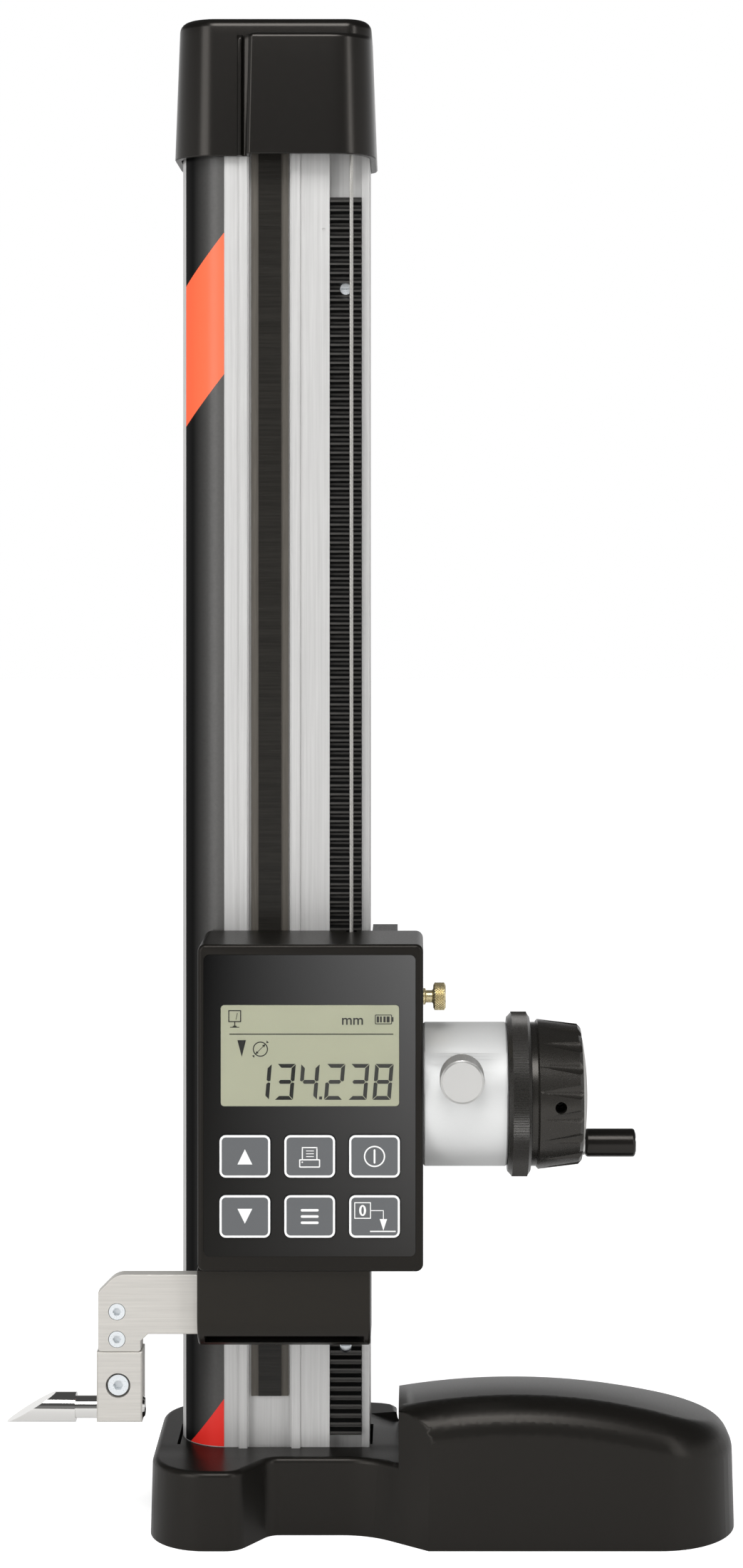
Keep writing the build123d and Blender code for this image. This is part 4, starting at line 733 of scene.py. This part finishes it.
def growPiece(name, grow, finish, values):
    # a mesh grown by geometry nodes, which take the values as their inputs
    tree = bpy.data.node_groups.new(name + "Nodes", "GeometryNodeTree")
    tree.interface.new_socket(name="Geometry", in_out="OUTPUT", socket_type="NodeSocketGeometry")
    places = {}
    for label, value in values.items():
        kind = "NodeSocketInt" if isinstance(value, int) else "NodeSocketFloat"
        places[label] = tree.interface.new_socket(name=label, in_out="INPUT", socket_type=kind).identifier
    grown = grow(tree, tree.nodes.new("NodeGroupInput").outputs)
    real = addNode(tree, "GeometryNodeRealizeInstances", grown)
    coat = addNode(tree, "GeometryNodeSetMaterial", Geometry=real.outputs[0], Material=finishes[finish])
    addNode(tree, "NodeGroupOutput", coat.outputs[0])
    piece = bpy.data.objects.new(name, bpy.data.meshes.new(name))
    scene.collection.objects.link(piece)
    modifier = piece.modifiers.new("grow", "NODES")
    modifier.node_group = tree
    for label, value in values.items():
        modifier[places[label]] = value
    return bake(piece)


def transformed(tree, geometry, **change):
    return addNode(tree, "GeometryNodeTransform", Geometry=geometry, **change).outputs[0]


def alongAxes(tree, **sizes):
    return addNode(tree, "ShaderNodeCombineXYZ", **sizes).outputs[0]


def indexOf(tree):
    return tree.nodes.new("GeometryNodeInputIndex").outputs[0]


def spreadRound(tree, points, thing, axis, place, count):
    # the thing at each point, turned to its place among count places round an axis
    step = mathOf(tree, "DIVIDE", 2 * math.pi, count)
    turn = alongAxes(tree, **{axis: mathOf(tree, "MULTIPLY", place, step)})
    spread = addNode(tree, "GeometryNodeInstanceOnPoints", Points=points, Instance=thing, Rotation=turn)
    return spread.outputs[0]


def growStrands(tree, given):
    # strands wound round a straight line that runs up from the origin
    helix = addNode(
        tree, "GeometryNodeCurveSpiral", Resolution=rope["steps"], Rotations=given["Turns"],
        Start_Radius=given["Lay Radius"], End_Radius=given["Lay Radius"], Height=given["Length"])
    points = addNode(tree, "GeometryNodePoints", given["Strands"])
    wound = spreadRound(tree, points.outputs[0], helix.outputs[0], "Z", indexOf(tree), given["Strands"])
    real = addNode(tree, "GeometryNodeRealizeInstances", wound)
    core = addNode(
        tree, "GeometryNodeCurvePrimitiveLine", Start=(0, 0, 0), End=alongAxes(tree, Z=given["Length"]))
    every = addNode(tree, "GeometryNodeJoinGeometry", real.outputs[0])
    fill(every, core.outputs[0])
    ring = addNode(
        tree, "GeometryNodeCurvePrimitiveCircle", Resolution=rope["sides"], Radius=given["Strand Radius"])
    tube = addNode(
        tree, "GeometryNodeCurveToMesh", Curve=every.outputs[0], Profile_Curve=ring.outputs[0], Fill_Caps=True)
    return addNode(tree, "GeometryNodeSetShadeSmooth", tube.outputs[0]).outputs[0]


rope = {"lay": 7.5, "radius": 0.68, "strand": 0.235, "strands": 6, "steps": 10, "sides": 7}
ropeRuns = {  # the two hanging lengths of the same rope, in mm
    "counterbalanceRope": {
        "x": 27.0, "y": -24.5, "top": 504.0, "low": 121.0, "node": "wire_front", "load": "carriage"},
    "counterweightRope": {
        "x": 14.0, "y": 3.0, "top": 504.0, "low": 441.0, "node": "wire_back", "load": "counterweight"},
}


def makeRope(name, run):
    # the rope is grown straight from its low end up to its top end and stays where it is placed
    length = run["top"] - run["low"]
    piece = growPiece(name, growStrands, "wireSteel", {
        "Length": length * mm, "Turns": length / rope["lay"], "Strands": rope["strands"],
        "Lay Radius": (rope["radius"] - rope["strand"]) * mm, "Strand Radius": rope["strand"] * mm})
    low, top = (Vector((run["x"] * mm, run["y"] * mm, run[end] * mm)) for end in ("low", "top"))
    piece.data.transform(Matrix.Translation(low))
    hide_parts(run["node"])
    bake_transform(piece)


for ropeName, ropeRun in ropeRuns.items():
    makeRope(ropeName, ropeRun)


def growRidges(tree, given):
    # straight ridges round the x axis
    size = alongAxes(tree, X=given["Length"], Y=given["Width"], Z=given["Width"])
    bar = addNode(tree, "GeometryNodeMeshCube", size)
    leant = transformed(tree, bar.outputs[0], Rotation=(math.radians(45), 0, 0))
    lifted = transformed(tree, leant, Translation=alongAxes(tree, Z=given["Radius"]))
    points = addNode(tree, "GeometryNodePoints", given["Ridges"])
    return spreadRound(tree, points.outputs[0], lifted, "X", indexOf(tree), given["Ridges"])


def growStuds(tree, given):
    # rows of small pyramids round the x axis, each row set half a step from the last
    points = addNode(
        tree, "GeometryNodePoints", mathOf(tree, "MULTIPLY", given["Columns"], given["Rows"]))
    index = indexOf(tree)
    row = mathOf(tree, "FLOOR", mathOf(tree, "DIVIDE", mathOf(tree, "ADD", index, 0.5), given["Columns"]))
    column = mathOf(tree, "ADD", index, mathOf(tree, "MULTIPLY", row, 0.5))
    rowStep = mathOf(tree, "DIVIDE", given["Width"], given["Rows"])
    across = mathOf(tree, "MULTIPLY", mathOf(tree, "ADD", row, 0.5), rowStep)
    placed = addNode(
        tree, "GeometryNodeSetPosition", Geometry=points.outputs[0], Position=alongAxes(tree, X=across))
    stud = addNode(
        tree, "GeometryNodeMeshCone", Vertices=4, Radius_Top=0.0, Radius_Bottom=given["Stud"],
        Depth=given["Height"])
    lifted = transformed(tree, stud.outputs[0], Translation=alongAxes(tree, Z=given["Radius"]))
    return spreadRound(tree, placed.outputs[0], lifted, "X", column, given["Columns"])


def turnedPiece(name, profile, place, finish, fineness):
    # a closed profile of (along, radius) pairs turned round the x axis through place
    build = bmesh.new()
    rings = []
    steps = fineness["steps"]
    for step in range(steps):
        angle = 2 * math.pi * step / steps
        ring = []
        for along, radius in profile:
            y = place[1] + radius * math.cos(angle)
            z = place[2] + radius * math.sin(angle)
            ring.append(build.verts.new(((place[0] + along) * mm, y * mm, z * mm)))
        rings.append(ring)
    for step in range(steps):
        here, there = rings[step], rings[(step + 1) % steps]
        for point in range(len(profile)):
            after = (point + 1) % len(profile)
            build.faces.new((here[point], here[after], there[after], there[point]))
    bmesh.ops.recalc_face_normals(build, faces=build.faces)
    piece = pieceFrom(name, build, finish)
    smoothBy(piece, fineness["sharpAngle"])
    return piece


drive = {"y": -29.12, "z": 151.7}
fineRing = {
    "start": 80.9, "end": 88.7, "radius": 28.0, "bore": 16.05, "chamfer": 1.45, "step": 0.25, "ridges": 300,
    "ridge": 0.42, "valley": 27.76, "steps": 128, "sharpAngle": 25,
}


def makeFineRing():
    start, end, chamfer, valley = (fineRing[key] for key in ("start", "end", "chamfer", "valley"))
    step, shoulder = fineRing["step"], valley - chamfer
    profile = [
        (start, fineRing["bore"]), (start, shoulder), (start + step, shoulder + 0.2), (start + chamfer, valley),
        (end - chamfer * 0.7, valley), (end - step, shoulder + 0.3), (end, shoulder), (end, fineRing["bore"]),
    ]
    body = turnedPiece("fineRingBody", profile, (0, drive["y"], drive["z"]), "ringMetal", fineRing)
    settle(body, "fine_ring", ["fine_ring"])
    length = end - start - chamfer * 1.7
    knurl = growPiece("fineRingKnurl", growRidges, "ringMetal", {
        "Ridges": fineRing["ridges"], "Length": length * mm, "Width": fineRing["ridge"] * mm,
        "Radius": (fineRing["radius"] - fineRing["ridge"] * 0.7072) * mm})  # a ridge reaches half its diagonal
    middle = start + chamfer + length / 2
    knurl.data.transform(Matrix.Translation((middle * mm, drive["y"] * mm, drive["z"] * mm)))
    settle(knurl, "fine_ring")


makeFineRing()


def diamondKnurl(name, knob, finish, width):
    return growPiece(name, growStuds, finish, {
        "Columns": knob["columns"], "Rows": knob["rows"], "Width": width * mm, "Stud": knob["stud"] * mm,
        "Height": knob["height"] * mm, "Radius": (knob["radius"] - knob["height"]) * mm})


thumbScrew = {
    "y": -39.0, "z": 187.0, "start": 55.4, "end": 59.6, "radius": 4.75, "neck": 2.05, "tip": 44.5,
    "washer": 52.0, "washerEnd": 53.0, "washerRadius": 2.85, "edge": 0.5, "dish": 0.15,
    "columns": 30, "rows": 7, "stud": 0.5, "height": 0.28, "steps": 64, "sharpAngle": 30,
}


def makeThumbScrew():
    start, end, neck, tip, washer, washerEnd, edge, dish = (thumbScrew[key] for key in (
        "start", "end", "neck", "tip", "washer", "washerEnd", "edge", "dish"))
    core = thumbScrew["radius"] - thumbScrew["height"] + 0.02
    profile = [
        (tip, 0.01), (tip, neck - 0.3), (tip + 0.3, neck), (washer, neck), (washer, thumbScrew["washerRadius"]),
        (washer + 0.6, thumbScrew["washerRadius"] - 0.1), (washerEnd, neck + 0.05), (start - 0.4, neck + 0.05),
        (start - 0.1, neck + 0.5), (start, core - 0.55), (start + edge, core), (end - edge, core),
        (end, core - edge), (end, core - 1.1), (end - dish, core - 1.35), (end - dish, 0.01),
    ]
    body = turnedPiece(
        "thumbScrewBody", profile, (0, thumbScrew["y"], thumbScrew["z"]), "brassTurned", thumbScrew)
    settle(body, "thumb_screw", ["thumb_screw"])
    knurl = diamondKnurl("thumbScrewKnurl", thumbScrew, "brassTurned", end - start - 2 * edge)
    place = ((start + edge) * mm, thumbScrew["y"] * mm, thumbScrew["z"] * mm)
    knurl.data.transform(Matrix.Translation(place))
    settle(knurl, "thumb_screw")


makeThumbScrew()

lockKnob = {
    "x": 64.9, "z": 162.7, "front": -66.0, "rear": -53.8, "radius": 7.5, "chamfer": 0.55, "rearEdge": 0.4,
    "stemRadius": 2.9, "stemLength": 13.4, "columns": 60, "rows": 15, "stud": 0.42, "height": 0.22,
    "steps": 96, "sharpAngle": 30,
}


def makeLockKnob():
    # built along x and then turned to face the front
    length = lockKnob["rear"] - lockKnob["front"]
    core = lockKnob["radius"] - lockKnob["height"] + 0.02
    chamfer, edge, stem = (lockKnob[key] for key in ("chamfer", "rearEdge", "stemRadius"))
    stemEnd = length + lockKnob["stemLength"]
    profile = [
        (0, 0.01), (0, core - chamfer - 0.1), (0.12, core - chamfer), (chamfer, core), (length - edge, core),
        (length, core - edge), (length, stem), (stemEnd, stem), (stemEnd, 0.01),
    ]
    place = Matrix.Translation((lockKnob["x"] * mm, lockKnob["front"] * mm, lockKnob["z"] * mm))
    place = place @ Matrix.Rotation(math.radians(90), 4, "Z")
    body = turnedPiece("lockKnobBody", profile, (0, 0, 0), "turnedSteel", lockKnob)
    body.data.transform(place)
    settle(body, "lock_knob", ["lock_knob"])
    knurl = diamondKnurl("lockKnobKnurl", lockKnob, "turnedSteel", length - chamfer - 0.8)
    knurl.data.transform(place @ Matrix.Translation(((chamfer + 0.2) * mm, 0, 0)))
    settle(knurl, "lock_knob")


makeLockKnob()
print("grown pieces ready")

cap = {
    "low": 477.2, "high": 525.8, "side": 35.6, "front": -24.6, "back": 23.6, "draft": 0.038, "mouthEdge": 0.35,
    "panelFront": -31.0, "panelStart": -9.4, "panelTop": 519.7, "panelRound": 1.8, "panelEdge": 1.6,
    "leftCorner": 15, "rightCorner": 11, "panelCorner": 19, "fullness": 2.8, "backCorner": 8,
    "topRound": 3.2, "wall": 2.2, "roof": 2.4, "columnTop": 486, "rows": (488, 499, 509), "ridge": 1.3,
    "topFacing": 0.98, "sharpAngle": 42,
    "rib": ((-3.6, 0), (-3.3, 0.7), (-2.9, 1), (-2.1, 1), (-1.7, 0.7), (-1.4, 0), (-1.1, -0.25), (-0.7, -0.25)),
}


def arcOf(centerX, centerY, radius, start, end, steps, fullness=2.0):
    # a quarter of a circle, or with more fullness of a squarer curve
    points = []
    for step in range(steps + 1):
        turn = math.radians(start + (end - start) * step / steps)
        reach = radius / (abs(math.cos(turn)) ** fullness + abs(math.sin(turn)) ** fullness) ** (1 / fullness)
        points.append((centerX + reach * math.cos(turn), centerY + reach * math.sin(turn)))
    return points


def capOutline(inset, panelInset, raised, ridge):
    # seen from above, from the middle of the back round the left side to the front and back again
    side, back, front = cap["side"] - inset, cap["back"] - inset, cap["front"] + inset
    panel = cap["panelFront"] + panelInset
    left, rear = cap["leftCorner"] - inset, cap["backCorner"] - inset
    start, edge = cap["panelStart"], cap["panelEdge"]
    points = [(0, back)] + arcOf(-side + rear, back - rear, rear, 90, 180, 6)
    points += arcOf(-side + left, front + left, left, 180, 270, 16)
    points += [(start + x, front - ridge * cap["ridge"] * rise) for x, rise in cap["rib"]]
    wrapRaised = [(start + panelInset * 0.5 + x, y) for x, y in ((-0.3, front), (-0.05, front - 1))]
    wrapRaised += arcOf(start + edge + panelInset * 0.5, panel + edge, edge, 180, 270, 6)
    wide, corner = cap["panelCorner"] - inset, cap["rightCorner"] - inset
    wrapRaised += arcOf(side - wide, panel + wide, wide, 270, 360, 16, cap["fullness"])
    wrapPlain = [(start - 0.3 + 0.28 * place, front) for place in range(9)]
    wrapPlain += arcOf(side - corner, front + corner, corner, 270, 360, 16)
    for high, low in zip(wrapRaised, wrapPlain):
        points.append(tuple(low[axis] + (high[axis] - low[axis]) * raised for axis in range(2)))
    points += arcOf(side - rear, back - rear, rear, 0, 90, 6)
    return points


def makeCap():
    # a drafted hood whose raised front panel wraps round its right corner
    rows = []

    def addRow(z, inset, panelInset, raised, ridge):
        rows.append([(x, y, z) for x, y in capOutline(inset, panelInset, raised, ridge)])

    low, high, draft = cap["low"], cap["high"], cap["draft"]
    addRow(low, cap["mouthEdge"], cap["mouthEdge"], 1, 1)
    for z in (low + cap["mouthEdge"], *cap["rows"], cap["panelTop"] - cap["panelRound"]):
        addRow(z, (z - low) * draft, (z - low) * draft, 1, 1)
    for step in range(1, 6):
        turn = math.radians(18 * step)
        z = cap["panelTop"] - cap["panelRound"] * (1 - math.sin(turn))
        inset = (z - low) * draft
        addRow(z, inset, inset + cap["panelRound"] * (1 - math.cos(turn)), 1, 1 - step / 5)
    addRow(cap["panelTop"] + 0.06, (cap["panelTop"] - low) * draft, 3, 0, 0)
    for step in range(0, 7):
        turn = math.radians(15 * step)
        z = high - cap["topRound"] * (1 - math.sin(turn))
        addRow(z, (z - low) * draft + cap["topRound"] * (1 - math.cos(turn)), 3, 0, 0)
    roofRow = len(rows)
    under, wall = high - cap["roof"], cap["wall"]
    lean = (under - cap["columnTop"]) * draft
    addRow(under, wall + lean + 2, 3, 0, 0)
    addRow(under - 1.2, wall + lean + 0.3, 3, 0, 0)
    addRow(cap["panelTop"] - wall + 0.1, wall + lean, 3, 0, 0)
    addRow(cap["panelTop"] - wall, wall + lean, wall + lean, 1, 0)
    addRow(cap["columnTop"], wall, wall, 1, 0)
    addRow(low, wall, wall, 1, 0)
    build = bmesh.new()
    rings = [[build.verts.new((x * mm, y * mm, z * mm)) for x, y, z in row] for row in rows]
    for place, ring in enumerate(rings):
        above = rings[(place + 1) % len(rings)]
        if place == roofRow - 1:
            build.faces.new(ring)
            build.faces.new(above)
            continue
        for point in range(len(ring)):
            after = (point + 1) % len(ring)
            build.faces.new((ring[point], ring[after], above[after], above[point]))
    bmesh.ops.recalc_face_normals(build, faces=build.faces)
    piece = pieceFrom("topCapHood", build, "capPlastic")
    piece.data.materials.append(finishes["capTop"])
    for polygon in piece.data.polygons:
        if polygon.normal.z > cap["topFacing"]:  # the flat top is satin
            polygon.material_index = 1
    smoothBy(piece, cap["sharpAngle"])
    weigh = piece.modifiers.new("weigh", "WEIGHTED_NORMAL")
    weigh.keep_sharp = True
    bake(piece)
    settle(piece, "stand", ["top_cap"])


makeCap()

grubScrew = {
    "x": 98.5, "z": 151.7, "front": -41.1, "rear": -33.2, "radius": 1.95, "socket": 0.95, "depth": 1.6, "steps": 48,
    "sharpAngle": 30,
}


def makeGrubScrew():
    # a ring with a hexagon socket that faces the front
    build = bmesh.new()
    radius, socket, front, rear, steps = (grubScrew[key] for key in ("radius", "socket", "front", "rear", "steps"))
    floor = front + grubScrew["depth"]
    rows = []
    for y, ringRadius, hexagonal in (
            (rear, 0.02, False), (rear, radius, False), (front + 0.5, radius, False), (front, radius - 0.35, False),
            (front, socket + 0.28, False), (front + 0.2, socket, True), (floor, socket, True),
            (floor + 0.3, 0.02, False)):
        row = []
        for step in range(steps):
            angle = 2 * math.pi * step / steps
            reach = ringRadius
            if hexagonal:
                reach *= math.cos(math.pi / 6) / math.cos((angle % (math.pi / 3)) - math.pi / 6) * 1.08
            x, z = grubScrew["x"] + reach * math.cos(angle), grubScrew["z"] + reach * math.sin(angle)
            row.append(build.verts.new((x * mm, y * mm, z * mm)))
        rows.append(row)
    for here, there in zip(rows, rows[1:]):
        for step in range(steps):
            after = (step + 1) % steps
            build.faces.new((here[step], here[after], there[after], there[step]))
    build.faces.new(rows[0])
    build.faces.new(rows[-1])
    bmesh.ops.recalc_face_normals(build, faces=build.faces)
    piece = pieceFrom("grubScrewRing", build, "grubSteel")
    smoothBy(piece, grubScrew["sharpAngle"])
    settle(piece, bodyOf["wheel_grub_screw"], ["wheel_grub_screw"])


makeGrubScrew()

wheelCover = {"start": 106.45, "rise": 2.2, "radius": 20.9, "edge": 0.25, "rings": 12, "steps": 72, "sharpAngle": 35}


def makeWheelCover():
    # a shallow dome
    start, radius, edge = (wheelCover[key] for key in ("start", "radius", "edge"))
    profile = [(start, 0.01), (start, radius)]
    for ring in range(1, wheelCover["rings"] + 1):
        reach = radius * (1 - ring / wheelCover["rings"]) + 0.01
        rise = edge + (wheelCover["rise"] - edge) * (1 - (reach / radius) ** 2)
        profile.append((start + rise, reach))
    piece = turnedPiece("wheelCoverDome", profile, (0, drive["y"], drive["z"]), "coverGrey", wheelCover)
    settle(piece, bodyOf["wheel_cover"], ["wheel_cover"])


makeWheelCover()
print("cap and cover ready")

shaped = set(eased) | {  # nodes that a piece of this script stands for
    "rack", "wire_front", "wire_back", "fine_ring", "thumb_screw", "lock_knob", "top_cap", "wheel_cover",
    "wheel_grub_screw"}
brightScrews = ("arm_screws", "clamp_screw", "rack_screws")
for node, thing in frame["nodes"].items():
    if node not in shaped:
        thing.data.materials.clear()
        thing.data.materials.append(finishes["screwZinc" if node in brightScrews else slotFinish[slotOf[node]]])
print("remaining nodes finished")


def makeFloor():
    # white paper that the camera sees a little brighter, so that it meets the background
    build = bmesh.new()
    bmesh.ops.create_grid(build, x_segments=2, y_segments=2, size=studio["floorSize"])
    mesh = bpy.data.meshes.new("floor")
    build.to_mesh(mesh)
    build.free()
    material, tree, shader = newMaterial("floorPaper")
    fill(shader, Base_Color=studio["floorColor"], Roughness=studio["floorRoughness"])
    path = tree.nodes.new("ShaderNodeLightPath")
    glow = addNode(tree, "ShaderNodeEmission", Strength=studio["floorGlow"])
    both = addNode(tree, "ShaderNodeAddShader", shader.outputs[0], glow.outputs[0])
    pick = addNode(tree, "ShaderNodeMixShader", path.outputs["Is Camera Ray"], shader.outputs[0], both.outputs[0])
    fill(tree.nodes["Material Output"], pick.outputs[0])
    mesh.materials.append(material)
    floor = bpy.data.objects.new("floor", mesh)
    scene.collection.objects.link(floor)


makeFloor()
print("floor ready")
